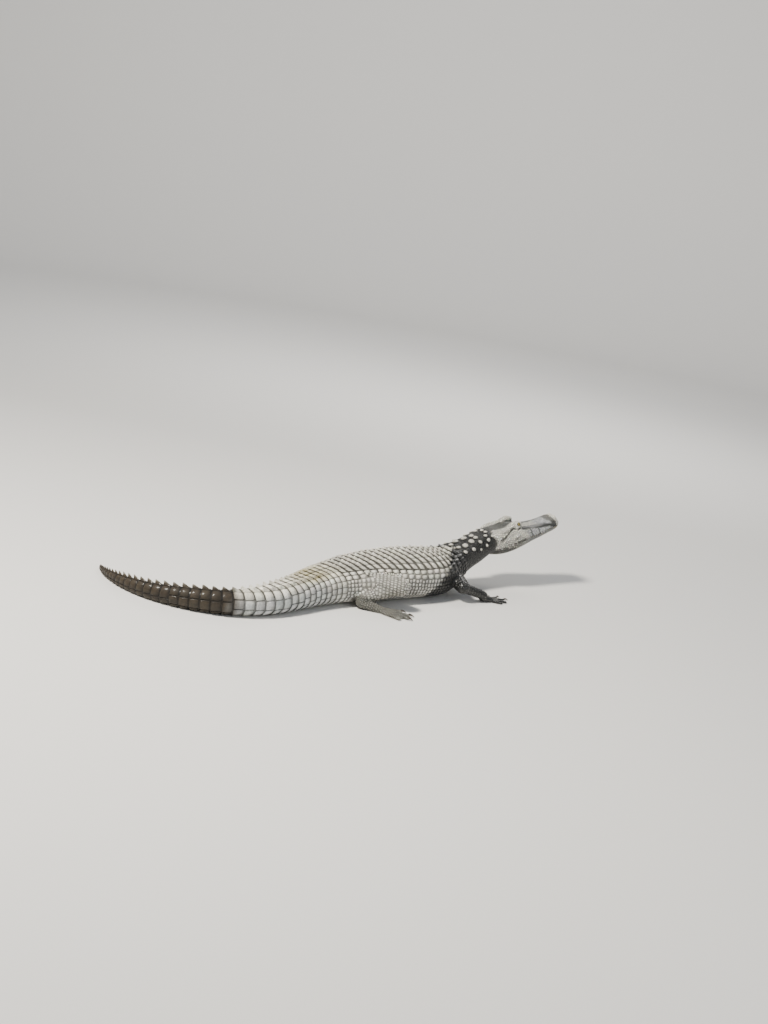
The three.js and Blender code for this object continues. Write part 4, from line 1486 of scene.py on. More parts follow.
def nuchalCells(rng):
    cells = []
    for along, around, halfLong, halfWide, keel in nuchalPlan["rows"]:
        girth = float(halfGirth(along))
        for side in (1, -1):
            cells.append(slabCell(
                along + rng.normal(0, 0.0007), side * around + rng.normal(0, 0.008),
                halfLong / bodyPlan["length"], halfWide / girth, keel * rng.uniform(0.9, 1.1),
                turn=rng.normal(0, 0.28),
            ))
    return cellArrays(cells)


def layerValues(mesh, name, field, width=1):
    values = np.empty(len(mesh.vertices) * width, np.float32)
    mesh.attributes[name].data.foreach_get(field, values)
    return values


def lightenTops(piece, plan):
    # raised parts paler: the neck's scutes because they dry first, the tail crest's tips as a painted sunlit
    # highlight
    mesh = piece.data
    colour = layerValues(mesh, "hideTint", "color", 4).reshape(-1, 4)
    share = ramp(layerValues(mesh, "hideRiseAndShade", "value"), *plan["over"])[:, None] * plan["paleness"]
    colour[:, :3] = mix(colour[:, :3], np.array(plan["tint"]), share)
    mesh.attributes["hideTint"].data.foreach_set("color", colour.ravel())
    wet = layerValues(mesh, "hideWet", "value") * (1 - 0.7 * share[:, 0])
    mesh.attributes["hideWet"].data.foreach_set("value", wet)


rng = np.random.default_rng(14)
pieces["nuchal"] = layOnBody("nuchalScutes", "keeled", nuchalCells(rng), nuchalPlan, rng)
lightenTops(pieces["nuchal"], nuchalPlan)
# painted highlight: the crest's tips paler, as if lit by the sun
lightenTops(pieces["crest"], {"paleness": 0.35, "tint": (0.45, 0.42, 0.34), "over": (0.84, 1)})

# Legs: rings of scales round each limb, and bands across the toes.
limbPlans = {
    "upper": {"ring": 0.0125, "width": 0.009, "from": -0.1, "to": 1.08, "keel": 0.0013},
    "lower": {"ring": 0.0115, "width": 0.0095, "from": 0.02, "to": 1.0, "keel": 0.0009},
    "palm": {"ring": 0.0085, "width": 0.008, "from": 0.12, "to": 1.0, "keel": 0.0004},
    "toe": {"ring": 0.0062, "width": 0.0085, "from": 0.08, "to": 0.86, "keel": 0.0002},
}
legCoat = {
    **slabPlan,
    "gap": 0.06, "bevel": 0.45, "rim": -0.0008, "plateau": 0.0012, "sink": 0.0022, "tilt": 0.0004,
    "peak": 0.4, "drop": 0.4, "keelWidth": 0.45, "lean": 0, "disc": 0.45, "uneven": 0.05,
    "frontShade": 0.55, "stretch": 1.25, "spread": 0.12,
    "flatFrom": 0.35, "reach": 1.42, "tipCut": 0.07, "footSize": 0.6, "footSides": 0.62,
}


def limbSurface(limb, reach):
    # a point of the leg's skin, seen from the limb's axis: along 0 to 1, around -1 to 1 with 0 on top
    axis, sideways, over = limbAxes(limb)
    length = limbLength(limb)

    def place(along, around, lift, _):  # the low keels of the legs don't lean
        shares, turns, lifts = np.broadcast_arrays(along, around * math.pi, lift)
        points = np.full((*shares.shape, 3), np.nan)
        radius = mix(*limb["radii"], np.clip(shares, 0, 1)) * reach
        for index in np.ndindex(shares.shape):
            start = limb["start"] + axis * length * shares[index]
            away = sideways * math.sin(turns[index]) + over * math.cos(turns[index])
            hit, normal = skinTree.ray_cast(Vector(start), Vector(away), radius[index])[:2]
            if hit is not None and normal.dot(Vector(away)) >= legCoat["flatFrom"]:
                points[index] = np.array(hit) + away * lifts[index]
        points[..., 2] = points[..., 2].clip(skinPlan["clearance"])
        return points

    return place


def limbCells(limb, plan, rng):
    cells = []
    length = limbLength(limb)
    end = plan["to"] if limb.get("clawed", True) else plan["to"] - legCoat["tipCut"]
    rings = max(2, round(length * (end - plan["from"]) / plan["ring"]))
    for ring in range(rings):
        share = mix(plan["from"], end, (ring + 0.5) / rings)
        radius = float(mix(*limb["radii"], np.clip(share, 0, 1)))
        count = max(5, round(2 * math.pi * radius * (1 + limb["flat"]) / 2 / plan["width"]))
        for column in range(count):
            around = (column + 0.5 * (ring % 2)) / count * 2 - 1
            if limb["part"] in footParts and abs(around) > legCoat["footSides"]:
                continue
            cells.append(slabCell(
                share + rng.normal(0, 0.03) * plan["ring"] / length,
                around + rng.normal(0, 0.03) / count,
                (end - plan["from"]) / rings / 2 * (1 - legCoat["gap"]) * rng.uniform(0.9, 1),
                1 / count * (1 - legCoat["gap"]) * rng.uniform(0.9, 1),
                plan["keel"] * rng.uniform(0.4, 1.3),
            ))
    return cellArrays(cells)


def joinScales(name, made):
    # several laid groups as one mesh
    bm = bmesh.new()
    for piece in made:
        bm.from_mesh(piece.data)
    mesh = meshOf(bm, name)
    for piece in made:
        bpy.data.objects.remove(piece)
    return linked(name, mesh)


def trianglesOf(mesh):
    mesh.calc_loop_triangles()
    flat = np.empty(len(mesh.loop_triangles) * 3, np.int32)
    mesh.loop_triangles.foreach_get("vertices", flat)
    return flat.reshape(-1, 3)


def treeOfPieces(group):
    spots = []
    faces = []
    base = 0
    for piece in group:
        spots.append(meshPoints(piece.data))
        faces.append(trianglesOf(piece.data) + base)
        base += len(piece.data.vertices)
    return BVHTree.FromPolygons(np.vstack(spots).tolist(), np.vstack(faces).tolist())


bodyCoat = treeOfPieces([pieces["dorsal"], pieces["flank"], pieces["belly"]])


def clearOf(cells, surface, laid):
    # leaves out the scales of a leg where others already lie
    zero = np.zeros_like(cells["along"])
    spots = surface(cells["along"], cells["around"], zero, zero)
    clear = []
    for spot in spots:
        known = np.isfinite(spot).all()
        free = known and all(tree.find_nearest(Vector(spot), reach)[3] is None for tree, reach in laid)
        clear.append(free)
    return {key: values[clear] for key, values in cells.items()}


def legScales(leg, spot, rng):
    made = []
    laid = [(bodyCoat, 0.006)]
    for step, limb in enumerate(leg["limbs"] + leg["toes"]):
        plan = limbPlans[limb["part"]]
        cells = limbCells(limb, plan, rng)
        coat = {**legCoat, "length": limbLength(limb), "girth": math.pi * limb["radii"][0]}
        small = legCoat["footSize"] if limb["part"] in footParts else 1
        for key in ("rim", "plateau", "sink"):
            coat[key] = coat[key] * small
        surface = limbSurface(limb, legCoat["reach"])
        cells = clearOf(cells, surface, laid)
        offset = (spot[0] + unwrapPlan["limbStep"] * step, spot[1] + unwrapPlan["limbUp"])
        made.append(laySlabs("limbScales", "plain", cells, coat, surface, offset, rng))
        laid.append((treeOfPieces(made[-1:]), plan["width"] * 0.5))
    return joinScales(leg["side"] + leg["kind"].capitalize() + "Scales", made)


rng = np.random.default_rng(15)
for order, leg in enumerate(legs):
    left, low = unwrapPlan["leg"]
    piece = legScales(leg, (left + unwrapPlan["legStep"] * order, low), rng)
    pieces[piece.name] = piece
print("legs scaled")

# Small scales that fill every place the larger ones leave open.
mosaicPlan = {
    "tries": 14, "corners": 8, "gap": 0.0011, "grow": 1.02, "most": 1.25,
    "spread": 0.14, "warmth": 0.03,
    "waist": 0.64, "sink": 0.0012, "shoulder": 0.9, "rim": 0.34, "neckEnd": 0.245, "throatFrom": 0.62,
    # spacing and height; on the head, from the snout tip back
    "body": (0.0075, 0.0011), "neck": (0.0078, 0.0015), "throat": (0.0095, 0.001), "foot": (0.0048, 0.0006),
    "headSpacing": (0.0052, 0.0068), "headHeight": (0.0003, 0.0006), "jawSize": 1.15,
}


def mosaicSize(points):
    # spacing and height of the small scales by place, in metres
    plan = mosaicPlan
    back, _, up = headPlace(points)
    along, around, _ = bodyPlace(points)
    onHead = headMask(points, 0.1)
    neck = (along < plan["neckEnd"]) & ~onHead
    headSpacing = mix(*plan["headSpacing"], ramp(back, 0.35, 0.8))
    headSpacing = np.where(up < lipLine(back), headSpacing * plan["jawSize"], headSpacing)
    zones = [
        (neck, *plan["neck"]),
        (neck & (np.abs(around) > plan["throatFrom"]), *plan["throat"]),
        (legShares(points)["foot"] > 0.5, *plan["foot"]),
        (onHead, headSpacing, mix(*plan["headHeight"], ramp(back, 0.5, 0.95))),
    ]
    spacing, height = plan["body"]
    for where, wide, tall in zones:
        spacing = np.where(where, wide, spacing)
        height = np.where(where, tall, height)
    return spacing, height, onHead


def smallSpots(triangles, coatTree, rng):
    # spots for small scales, no two closer than the spacing there
    plan = mosaicPlan
    crosses = np.cross(triangles[:, 1] - triangles[:, 0], triangles[:, 2] - triangles[:, 0])
    areas = np.linalg.norm(crosses, axis=1) / 2
    spacing, _, _ = mosaicSize(triangles.mean(1))
    weights = areas / spacing**2
    count = int(weights.sum() * plan["tries"])
    shares = np.cumsum(weights) / weights.sum()
    chosen = np.searchsorted(shares, rng.random(count)).clip(0, len(areas) - 1)
    first = np.sqrt(rng.random((count, 1)))
    second = rng.random((count, 1))
    corner = triangles[chosen]
    spots = corner[:, 0] * (1 - first) + corner[:, 1] * first * (1 - second) + corner[:, 2] * first * second
    normals = unit(crosses[chosen])
    spacing, height, onHead = mosaicSize(spots)
    free = allowedSpots(spots, onHead)
    spots, normals, spacing, height = spots[free], normals[free], spacing[free], height[free]
    keys = keyTree(spots)
    along, _, away = bodyPlace(spots)
    bodied = (along > plan["neckEnd"]) & (away < 0.012)
    waiting = np.ones(len(spots), bool)
    kept = []
    room = []
    for index, spot in enumerate(spots):
        if not waiting[index]:
            continue
        gap = coatTree.find_nearest(Vector(spot), spacing[index])[3]
        clear = spacing[index] if gap is None else gap
        if clear < spacing[index] * (0.6 if bodied[index] else 0.36):
            continue
        kept.append(index)
        room.append(clear)
        for _, other, _ in keys.find_range(spot, spacing[index] * 0.86):
            waiting[other] = False
    return spots[kept], normals[kept], spacing[kept], height[kept], np.array(room)


def allowedSpots(spots, onHead):
    # none on the belly's flat, the eyes, the mouth line, the nostrils or under the feet
    free = spots[:, 2] > 0.004
    gap, strength = lipGap(spots)
    free &= ~(onHead & (strength > 0.2) & (np.abs(gap) < mouthPlan["clear"]))
    for side in legSides.values():
        centre = headSpot("eye", side)
        near = awayFrom(spots, centre) < eyeballRadius * 1.3
        free &= ~(near & ((spots - centre) @ eyeAxes(side)[0] > 0.005))
        free &= awayFrom(spots, headSpot("nostril", side)) > nostrilPlan["clear"]
    for leg in legs:
        for toe in leg["toes"]:
            free &= awayFrom(spots, toe["end"]) > legPlans[leg["kind"]]["toeRadius"] * 1.2
    return free


def studReach(arms, angles, most):
    # how far each corner may go before it meets a neighbour's; arms are the neighbours' places
    reach = np.full(len(angles), most)
    if len(arms):
        far = np.linalg.norm(arms, axis=1).clip(1e-5)
        facing = (arms / far[:, None]) @ np.stack([np.cos(angles), np.sin(angles)])
        limit = (far[:, None] / 2 - mosaicPlan["gap"] / 2) / facing.clip(0.05)
        reach = np.minimum(reach, np.where(facing > 0.05, limit, most).min(0))
    return reach


def laySmall(name, spots, normals, spacing, height, room, uvs, rng):
    # each scale fills its own share of the hide, edge to edge with its neighbours
    plan = mosaicPlan
    corners = plan["corners"]
    template, faces = studTemplate(corners)
    turns = np.arctan2(template[:, 1], template[:, 0])
    step = np.round(turns / (2 * math.pi / corners)).astype(int) % corners
    level = template[:, 2]
    rings = [level > 0.9, level > 0.3, level > -0.3]
    keys = keyTree(spots)
    made = np.empty((len(spots), len(template), 3))
    local = np.empty((len(spots), len(template), 2))
    for index, spot in enumerate(spots):
        normal = normals[index]
        side = unit(np.cross(normal, (0.31, 0.2, 0.93) if abs(normal[2]) < 0.9 else (1, 0, 0)))
        other = np.cross(normal, side)
        found = keys.find_range(spot, spacing[index] * 2)
        arms = np.array([item[0] for item in found if item[1] != index]).reshape(-1, 3) - spot
        angles = (np.arange(corners) + rng.random() * 0.5) * 2 * math.pi / corners
        most = min(spacing[index] * plan["most"] * 0.62, room[index] * plan["grow"])
        reach = studReach(np.stack([arms @ side, arms @ other], 1), angles, most)
        ring = reach.clip(spacing[index] * 0.2)[step]
        share = np.select([*rings, level > -0.9], [0, plan["waist"], 1, 0.92], 0)
        rise = np.select(rings, [1, plan["shoulder"], plan["rim"]], 0)
        angle = angles[step]
        flat = np.stack([np.cos(angle), np.sin(angle)], 1) * (ring * share)[:, None]
        base = spot + flat[:, :1] * side + flat[:, 1:] * other
        lift = np.where(level < -0.3, -plan["sink"], height[index] * rise)
        for corner in range(len(template)):
            hit, face = skinTree.find_nearest(Vector(base[corner]), 0.01)[:2]
            under = base[corner] if hit is None else np.array(hit)
            up = normal if hit is None else unit(np.array(face) + normal)
            made[index, corner] = under + up * lift[corner]
        local[index] = flat
    made[..., 2] = made[..., 2].clip(skinPlan["clearance"])
    colour, wet = hideMarks(spots)
    colour = varied(colour[:, None], plan["spread"], plan["warmth"], rng).clip(0.004, 0.9)
    colour, wet = (np.repeat(values, len(template), 1) for values in (colour, wet[:, None]))
    # painted shade: each small scale darker at its rim and root than on its top
    rises = np.repeat(np.select(rings, [1, 0.85, 0.4], 0)[None], len(spots), 0)
    return pieceFromArrays(name, made, faces, colour, wet, rises, uvs[:, None] + local * unwrapScale)


def mosaicPlaces(spots):
    # where each small scale's root lies on the unwrap of the skin's own shape
    along, around, _ = bodyPlace(spots)
    left, middle = unwrapPlan["body"]
    high = middle + around * halfGirth(along) * unwrapScale
    return np.stack([left + along * unwrapPlan["span"], high], 1)


def headPlaces(spots):
    back, out, up = headPlace(spots)
    turn = np.arctan2(out, up - 0.13) * 0.16
    size = headPlan["length"] * unwrapScale
    left, middle = unwrapPlan["head"]
    return np.stack([left + back * size, middle + turn * size * 1.6], 1)


rng = np.random.default_rng(16)
coatTree = treeOfPieces(pieces.values())
skinCorners = meshPoints(skin.data)[trianglesOf(skin.data)]
spots, normals, spacing, height, room = smallSpots(skinCorners, coatTree, rng)
print("small scales", len(spots))
onHead = headMask(spots, 0.1)
underLip = lipGap(spots)[0] < 0
footed = legShares(spots)["foot"] > 0.5
onNeck = bodyPlace(spots)[0] < mosaicPlan["neckEnd"]
groups = {
    "headScales": onHead & ~underLip,
    "jawScales": onHead & underLip,
    "neckScales": ~onHead & ~footed & onNeck,
    "footScales": ~onHead & footed,
    "smallScales": ~onHead & ~footed & ~onNeck,
}
for name, wanted in groups.items():
    unwrap = headPlaces if name in ("headScales", "jawScales") else mosaicPlaces
    chosen = [values[wanted] for values in (spots, normals, spacing, height, room)]
    pieces[name] = laySmall(name, *chosen, unwrap(spots[wanted]), rng)

# Eyes: a ball with a low cornea, and a material drawn round the way it looks.
eyeballPlan = {"segments": 48, "rings": 32, "cornea": 0.06, "corneaWidth": 0.42}


def makeEye(side):
    centre = headSpot("eye", legSides[side])
    look, ahead, over = eyeAxes(legSides[side])
    bm = bmesh.new()
    plan = eyeballPlan
    bmesh.ops.create_uvsphere(bm, u_segments=plan["segments"], v_segments=plan["rings"], radius=1)
    local = bmPoints(bm.verts)
    bulge = 1 + plan["cornea"] * bump(np.arccos(local[:, 2].clip(-1, 1)), 0, plan["corneaWidth"])
    basis = np.array([ahead, over, look])
    moveVerts(bm.verts, centre + (local * bulge[:, None]) @ basis * eyeballRadius)
    if np.linalg.det(basis) < 0:
        bmesh.ops.reverse_faces(bm, faces=bm.faces)
    mesh = meshOf(bm, side + "Eye", smooth=True)
    addLayer(mesh, "eyePlace", "FLOAT_VECTOR", local)
    return linked(side + "Eye", mesh)


def addRoll(bm, rows, columns, spine, radius, tall, sideways):
    # a closed tapered horn along a curved spine; tall is its height for each unit of width

    def place(run, turn):
        centres = spine(run)
        ahead = unit(spine(np.minimum(run + 0.01, 1)) - spine(np.maximum(run - 0.01, 0)))
        over = unit(np.cross(ahead, sideways))
        angle = turn * 2 * math.pi
        width = np.where(atEnds(run), 0, radius(run))[:, None]
        across = sideways * np.cos(angle)[:, None] * width
        return centres + across + over * np.sin(angle)[:, None] * width * tall

    rollGrid(bm, rows, columns, place)


def meshPiece(bm, name):
    bmesh.ops.recalc_face_normals(bm, faces=bm.faces)
    return linked(name, meshOf(bm, name, smooth=True))


def makeClaw(leg, index):
    # a curved horn that grows out of the toe's end
    toe = leg["toes"][index]
    plan = legPlans[leg["kind"]]
    reach = toe["length"] - clawPlan["buried"]
    start = turnedFrom(toe["start"], toe["heading"], reach, plan["toeRadius"] * 0.72)
    tip = turnedFrom(start, toe["heading"], clawPlan["length"] + clawPlan["buried"] - 0.002, 0.0016)
    wide = plan["toeRadius"] * 0.4
    sideways = unit(np.cross(tip - start, (0, 0, 1)))

    def spine(run):
        points = start + (tip - start) * run[:, None]
        points[:, 2] += clawPlan["arch"] * np.sin(math.pi * run**0.9)
        return points

    def radius(run):
        return wide * (1 - run**1.4 * 0.93) * np.minimum(1, 0.55 + run * 3)

    bm = bmesh.new()
    addRoll(bm, 22, 16, spine, radius, 1.25, sideways)
    name = leg["side"] + leg["kind"].capitalize() + "Claw" + str(index + 1)
    return meshPiece(bm, name), leg["side"] + "_" + leg["kind"] + "_claw_" + str(index + 1)


# Teeth: the upper row's tips lie over the lower lip.
toothPlan = {
    "backs": (
        0.035, 0.062, 0.09, 0.118, 0.15, 0.185, 0.222, 0.262, 0.3, 0.336, 0.372, 0.41, 0.45, 0.49, 0.53,
    ),
    "length": 0.0036, "large": ((0.118, 0.0022), (0.336, 0.0026)), "radius": 0.0013, "root": 0.0032,
    "lift": 0.012, "lean": 0.0006,
}


def makeTeeth():
    plan = toothPlan
    bm = bmesh.new()
    size = headPlan["length"]
    for sign in legSides.values():
        for back in plan["backs"]:
            lip = float(lipLine(back))
            outside = Vector(headPoint(back, sign * 0.5, lip - plan["lift"]))
            hit = skinTree.ray_cast(outside, Vector(-headLeft * sign), 0.3)[0]
            if hit is None:
                continue
            large = sum(extra * float(bump(back, place, 0.03)) for place, extra in plan["large"])
            radius = plan["radius"] * (1 + large * 140)
            middle = np.array(hit) + headLeft * sign * radius * 0.25
            raised = plan["lift"] * size
            start = middle + headUp * (raised + plan["root"]) - headLeft * sign * plan["lean"]
            tip = middle + headUp * (raised - plan["length"] - large)

            def spine(run, start=start, tip=tip):
                return start + (tip - start) * run[:, None]

            def width(run, radius=radius):
                return radius * (1 - run**2.2 * 0.9)

            addRoll(bm, 9, 9, spine, width, 1, unit(np.cross(tip - start, headLeft)))
    return meshPiece(bm, "upperTeeth")


eyes = {side: makeEye(side) for side in legSides}
claws = [makeClaw(leg, index) for leg in legs for index in range(clawPlan["count"])]
teeth = makeTeeth()
print("eyes, claws and teeth made")


# Materials. The hide's markings and painted shade are attributes; the nodes add grain, dust, painted shade
# in the grooves and wetness.
hideLook = {
    "grain": 30, "grainFrom": 0.8, "grainTo": 1.26,
    "speck": 260, "speckFrom": 0.78, "speckTo": 1.2,
    "groove": 0.1, "dust": (0.5, 0.45, 0.35), "dustShare": 0.22, "dustScale": 14, "darkDust": 0.03,
    "dryRough": 0.82, "wetRough": 0.3, "crack": 330, "wrinkle": 150,
    "bumpStrength": 0.5, "bumpDistance": 0.0007, "wetCoat": 0.6, "gloss": 0.3,
}


class NodeSheet:
    # a new material, with short ways to add its nodes
    def __init__(self, name):
        self.material = bpy.data.materials.new(name)
        self.material.use_nodes = True
        self.nodes = self.material.node_tree.nodes
        self.shader = self.nodes["Principled BSDF"]

    def feed(self, socket, value):
        # a number, a colour or another node's output
        if isinstance(value, (int, float)):
            socket.default_value = value
        elif isinstance(value, tuple):
            socket.default_value = (*value, 1)
        else:
            self.material.node_tree.links.new(value, socket)

    def fill(self, node, values):
        for name, value in values.items():
            self.feed(node.inputs[name], value)

    def noise(self, place, scale, detail, roughness):
        node = self.nodes.new("ShaderNodeTexNoise")
        self.fill(node, {"Scale": scale, "Detail": detail, "Roughness": roughness, "Vector": place})
        return node.outputs["Fac"]

    def mapped(self, value, fromLow, fromHigh, toLow, toHigh):
        node = self.nodes.new("ShaderNodeMapRange")
        self.fill(node, {
            "From Min": fromLow, "From Max": fromHigh, "To Min": toLow, "To Max": toHigh, "Value": value,
        })
        return node.outputs["Result"]

    def calculated(self, kind, first, second):
        node = self.nodes.new("ShaderNodeMath")
        node.operation = kind
        self.feed(node.inputs[0], first)
        self.feed(node.inputs[1], second)
        return node.outputs["Value"]

    def blended(self, kind, share, first, second):
        node = self.nodes.new("ShaderNodeMix")
        node.data_type = "RGBA"
        node.blend_type = kind
        for socket, value in zip((0, 6, 7), (share, first, second)):
            self.feed(node.inputs[socket], value)
        return node.outputs[2]

    def attribute(self, name, output):
        node = self.nodes.new("ShaderNodeAttribute")
        node.attribute_name = name
        return node.outputs[output]

    def roughen(self, height, strength, distance):
        # small relief from a height
        node = self.nodes.new("ShaderNodeBump")
        self.fill(node, {"Strength": strength, "Distance": distance, "Height": height})
        self.feed(self.shader.inputs["Normal"], node.outputs["Normal"])


def hideMaterial(name, plan):
    sheet = NodeSheet(name)
    place = sheet.nodes.new("ShaderNodeTexCoord").outputs["Object"]
    tint = sheet.attribute("hideTint", "Color")
    rise = sheet.attribute("hideRiseAndShade", "Fac")
    wet = sheet.attribute("hideWet", "Fac")
    grain = sheet.noise(place, plan["grain"], 6, 0.62)
    speck = sheet.noise(place, plan["speck"], 3, 0.6)
    grainShade = sheet.mapped(grain, 0.3, 0.7, plan["grainFrom"], plan["grainTo"])
    speckShade = sheet.mapped(speck, 0.32, 0.68, plan["speckFrom"], plan["speckTo"])
    # painted shade: the low parts of the hide darker, as grooves in shadow
    groove = sheet.mapped(rise, 0.3, 0.78, plan["groove"], 1)
    shade = sheet.calculated("MULTIPLY", grainShade, speckShade)
    dusty = sheet.mapped(sheet.noise(place, plan["dustScale"], 5, 0.6), 0.45, 0.68, 0, plan["dustShare"])
    dusty = sheet.calculated("MULTIPLY", dusty, sheet.mapped(wet, 0.15, 0.6, 1, 0))
    lightness = sheet.nodes.new("ShaderNodeRGBToBW")
    sheet.feed(lightness.inputs["Color"], tint)
    lightness = sheet.mapped(lightness.outputs["Val"], 0.04, 0.35, plan["darkDust"], 1)
    dusty = sheet.calculated("MULTIPLY", dusty, lightness)
    colour = sheet.blended("MIX", dusty, tint, plan["dust"])
    colour = sheet.blended("MULTIPLY", 1.0, colour, shade)
    colour = sheet.blended("MULTIPLY", 1.0, colour, groove)
    rough = sheet.mapped(wet, 0, 1, plan["dryRough"], plan["wetRough"])
    rough = sheet.calculated("ADD", rough, sheet.mapped(speck, 0.3, 0.7, -0.07, 0.08))
    sheet.fill(sheet.shader, {
        "Base Color": colour, "Roughness": rough,
        "Coat Weight": sheet.calculated("MULTIPLY", wet, plan["wetCoat"]),
    })
    sheet.shader.inputs["Coat Roughness"].default_value = 0.18
    sheet.shader.inputs["Specular IOR Level"].default_value = plan["gloss"]
    cracks = sheet.nodes.new("ShaderNodeTexVoronoi")
    cracks.feature = "DISTANCE_TO_EDGE"
    sheet.fill(cracks, {"Scale": plan["crack"], "Vector": place})
    crackHeight = sheet.mapped(cracks.outputs["Distance"], 0, 0.18, 0, 0.5)
    height = sheet.calculated("ADD", crackHeight, sheet.noise(place, plan["wrinkle"], 5, 0.65))
    sheet.roughen(height, plan["bumpStrength"], plan["bumpDistance"])
    return sheet.material


eyeLook = {
    "pupilWide": 0.1, "pupilTall": 0.46, "iris": 0.62,
    "gold": (0.3, 0.22, 0.06), "olive": (0.1, 0.1, 0.035), "rim": (0.012, 0.01, 0.008),
    "pupil": (0.002, 0.002, 0.002),
}


def eyeMaterial():
    # a golden iris with an upright slit, drawn from the eyeball's own places
    sheet = NodeSheet("eye")
    place = sheet.attribute("eyePlace", "Vector")
    parts = sheet.nodes.new("ShaderNodeSeparateXYZ")
    sheet.feed(parts.inputs["Vector"], place)
    ahead, over = parts.outputs["X"], parts.outputs["Y"]
    plan = eyeLook

    def squares(first, second):
        # the sum of two squares
        both = [sheet.calculated("MULTIPLY", value, value) for value in (first, second)]
        return sheet.calculated("ADD", *both)

    wide = sheet.calculated("DIVIDE", ahead, plan["pupilWide"])
    tall = sheet.calculated("DIVIDE", over, plan["pupilTall"])
    slit = sheet.mapped(squares(wide, tall), 0.8, 1.15, 0, 1)
    away = sheet.calculated("SQRT", squares(ahead, over), 0.0)
    streaks = sheet.noise(place, 9, 5, 0.7)
    colour = sheet.blended("MIX", sheet.mapped(streaks, 0.35, 0.65, 0, 1), plan["olive"], plan["gold"])
    edge = sheet.mapped(away, plan["iris"] - 0.1, plan["iris"] + 0.04, 0, 1)
    colour = sheet.blended("MIX", edge, colour, plan["rim"])
    colour = sheet.blended("MIX", slit, plan["pupil"], colour)
    rough = sheet.mapped(streaks, 0.3, 0.7, 0.12, 0.22)
    sheet.fill(sheet.shader, {"Base Color": colour, "Roughness": rough})
    sheet.shader.inputs["Coat Weight"].default_value = 1
    sheet.shader.inputs["Coat Roughness"].default_value = 0.03
    sheet.roughen(streaks, 0.12, 0.0002)
    return sheet.material


def hornMaterial(name, dark, light, scale, rough):
    # claws and teeth: streaked horn or enamel
    sheet = NodeSheet(name)
    place = sheet.nodes.new("ShaderNodeTexCoord").outputs["Object"]
    streaks = sheet.noise(place, scale, 5, 0.6)
    colour = sheet.blended("MIX", sheet.mapped(streaks, 0.35, 0.68, 0, 1), dark, light)
    uneven = sheet.mapped(streaks, 0.3, 0.7, rough, rough + 0.2)
    sheet.fill(sheet.shader, {"Base Color": colour, "Roughness": uneven})
    sheet.roughen(streaks, 0.35, 0.0003)
    return sheet.material


hide = hideMaterial("hide", hideLook)
smallHide = hideMaterial("smallHide", {**hideLook, "crack": 520, "wrinkle": 260, "bumpStrength": 0.35})
claw = hornMaterial("claw", (0.018, 0.014, 0.011), (0.075, 0.058, 0.042), 210, 0.32)
tooth = hornMaterial("tooth", (0.42, 0.34, 0.2), (0.66, 0.6, 0.46), 320, 0.24)
eye = eyeMaterial()

fleshNodes = [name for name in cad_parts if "claw" not in name and "eye" not in name]
skinPoints = meshPoints(skin.data)
skinColour, skinWet = hideMarks(skinPoints)
bare = allowedSpots(skinPoints, headMask(skinPoints, 0.1))
skinAlong, skinAround, skinGap = bodyPlace(skinPoints)
# painted shade: the skin between the scales darker, most between the shield's scutes
shielded = (np.abs(skinAround) < 0.34) & (skinGap < 0.012) & (skinAlong > 0.23)
paint(skin.data, skinColour, skinWet, np.where(bare, np.where(shielded, 0.3, 0.43), 0.7))
finishPiece(skin, hide, fleshNodes)
for name, piece in pieces.items():
    finishPiece(piece, smallHide if name in groups else hide)
for side, piece in eyes.items():
    finishPiece(piece, eye, ["eye_" + side])
for piece, node in claws:
    finishPiece(piece, claw, [node])
finishPiece(teeth, tooth)
print("materials set")

# The studio: a wide round sweep, soft light from above, and the photo's own viewing angle.
studioPlan = {
    "floorRadius": 7.6, "bend": 1.6, "wallTop": 3.9, "bendSteps": 12, "segments": 96,
    "tint": (0.8, 0.79, 0.765), "world": (0.82, 0.88, 1.0), "worldStrength": 0.28,
}
lightPlan = [
    {"name": "key", "spot": (-2.0, -1.6, 3.9), "size": 0.9, "energy": 380, "tint": (1, 0.95, 0.86)},
    {"name": "fill", "spot": (3.4, -3.2, 2.2), "size": 3, "energy": 35, "tint": (0.88, 0.94, 1)},
    {"name": "rim", "spot": (1.2, 3.6, 3.0), "size": 2, "energy": 70, "tint": (1, 0.97, 0.92)},
    {
        "name": "wall", "spot": (0, 3.4, 3.7), "aim": (0.8, 9.2, 1.4), "size": 3, "energy": 170,
        "tint": (1, 0.98, 0.95),
    },
]
cameraPlan = {
    "elevation": 14, "roll": 10, "distance": 5.94, "focal": 1548, "frame": (768, 1024),
    "snoutPixel": (543.7, 580.2), "sensor": 36,
}


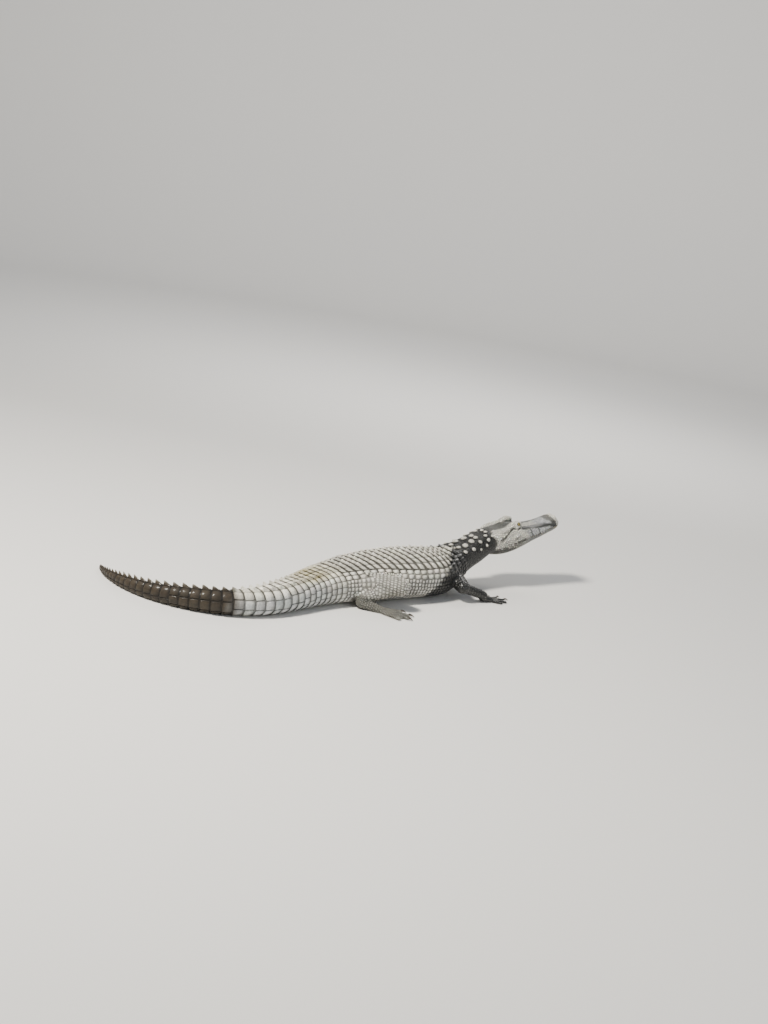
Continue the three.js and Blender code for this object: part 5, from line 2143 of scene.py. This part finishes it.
def addSweep():
    # floor and wall in one, turned round the vertical
    plan = studioPlan
    profile = [(0, 0), (plan["floorRadius"], 0)]
    for step in range(1, plan["bendSteps"] + 1):
        turn = step / plan["bendSteps"] * math.pi / 2
        profile.append((
            plan["floorRadius"] + plan["bend"] * math.sin(turn), plan["bend"] * (1 - math.cos(turn)),
        ))
    profile.append((plan["floorRadius"] + plan["bend"], plan["wallTop"]))
    bm = bmesh.new()
    verts = [bm.verts.new((radius, 0, height)) for radius, height in profile]
    edges = [bm.edges.new(pair) for pair in zip(verts, verts[1:])]
    bmesh.ops.spin(
        bm, geom=verts + edges, cent=(0, 0, 0), axis=(0, 0, 1), dvec=(0, 0, 0),
        angle=2 * math.pi, steps=plan["segments"], use_merge=True, use_duplicate=False,
    )
    bmesh.ops.remove_doubles(bm, verts=bm.verts, dist=1e-4)
    bmesh.ops.recalc_face_normals(bm, faces=bm.faces)
    if min(bm.faces, key=lambda face: face.calc_center_median().length).normal.z < 0:
        bmesh.ops.reverse_faces(bm, faces=bm.faces)
    sweep = linked("studioSweep", meshOf(bm, "studioSweep", smooth=True))
    sheet = NodeSheet("studioPaper")
    sheet.fill(sheet.shader, {"Base Color": plan["tint"], "Roughness": 0.85})
    sweep.data.materials.append(sheet.material)


def addLights():
    for plan in lightPlan:
        data = bpy.data.lights.new(plan["name"], "AREA")
        data.shape = "DISK"
        data.size = plan["size"]
        data.energy = plan["energy"]
        data.color = plan["tint"]
        light = linked(plan["name"], data)
        light.location = plan["spot"]
        way = Vector(plan.get("aim", (0, 0, 0))) - Vector(plan["spot"])
        light.rotation_euler = way.to_track_quat("-Z", "Y").to_euler()
    world = bpy.data.worlds.new("studio")
    world.use_nodes = True
    backdrop = world.node_tree.nodes["Background"]
    backdrop.inputs["Color"].default_value = (*studioPlan["world"], 1)
    backdrop.inputs["Strength"].default_value = studioPlan["worldStrength"]
    bpy.context.scene.world = world


def addCamera():
    # the photo's view: the floor under the snout falls on its own pixel
    plan = cameraPlan
    tilt = math.radians(plan["elevation"])
    roll = math.radians(plan["roll"])
    forward = Vector((0, math.cos(tilt), -math.sin(tilt)))
    right = Vector((math.cos(roll), math.sin(roll) * math.sin(tilt), math.sin(roll) * math.cos(tilt)))
    up = Vector((-math.sin(roll), math.cos(roll) * math.sin(tilt), math.cos(roll) * math.cos(tilt)))
    wide, tall = plan["frame"]
    perPixel = plan["distance"] / plan["focal"]
    across = (plan["snoutPixel"][0] - wide / 2) * perPixel
    above = (tall / 2 - plan["snoutPixel"][1]) * perPixel
    target = Vector((*snoutSpot, 0))
    data = bpy.data.cameras.new("photoView")
    data.sensor_width = plan["sensor"]
    data.lens = plan["sensor"] * plan["focal"] / tall
    place = target - right * across - up * above - forward * plan["distance"]
    camera = linked("photoView", data)
    camera.matrix_world = Matrix.Translation(place) @ Matrix((right, up, -forward)).transposed().to_4x4()
    bpy.context.scene.camera = camera


addSweep()
addLights()
addCamera()
print("studio set")
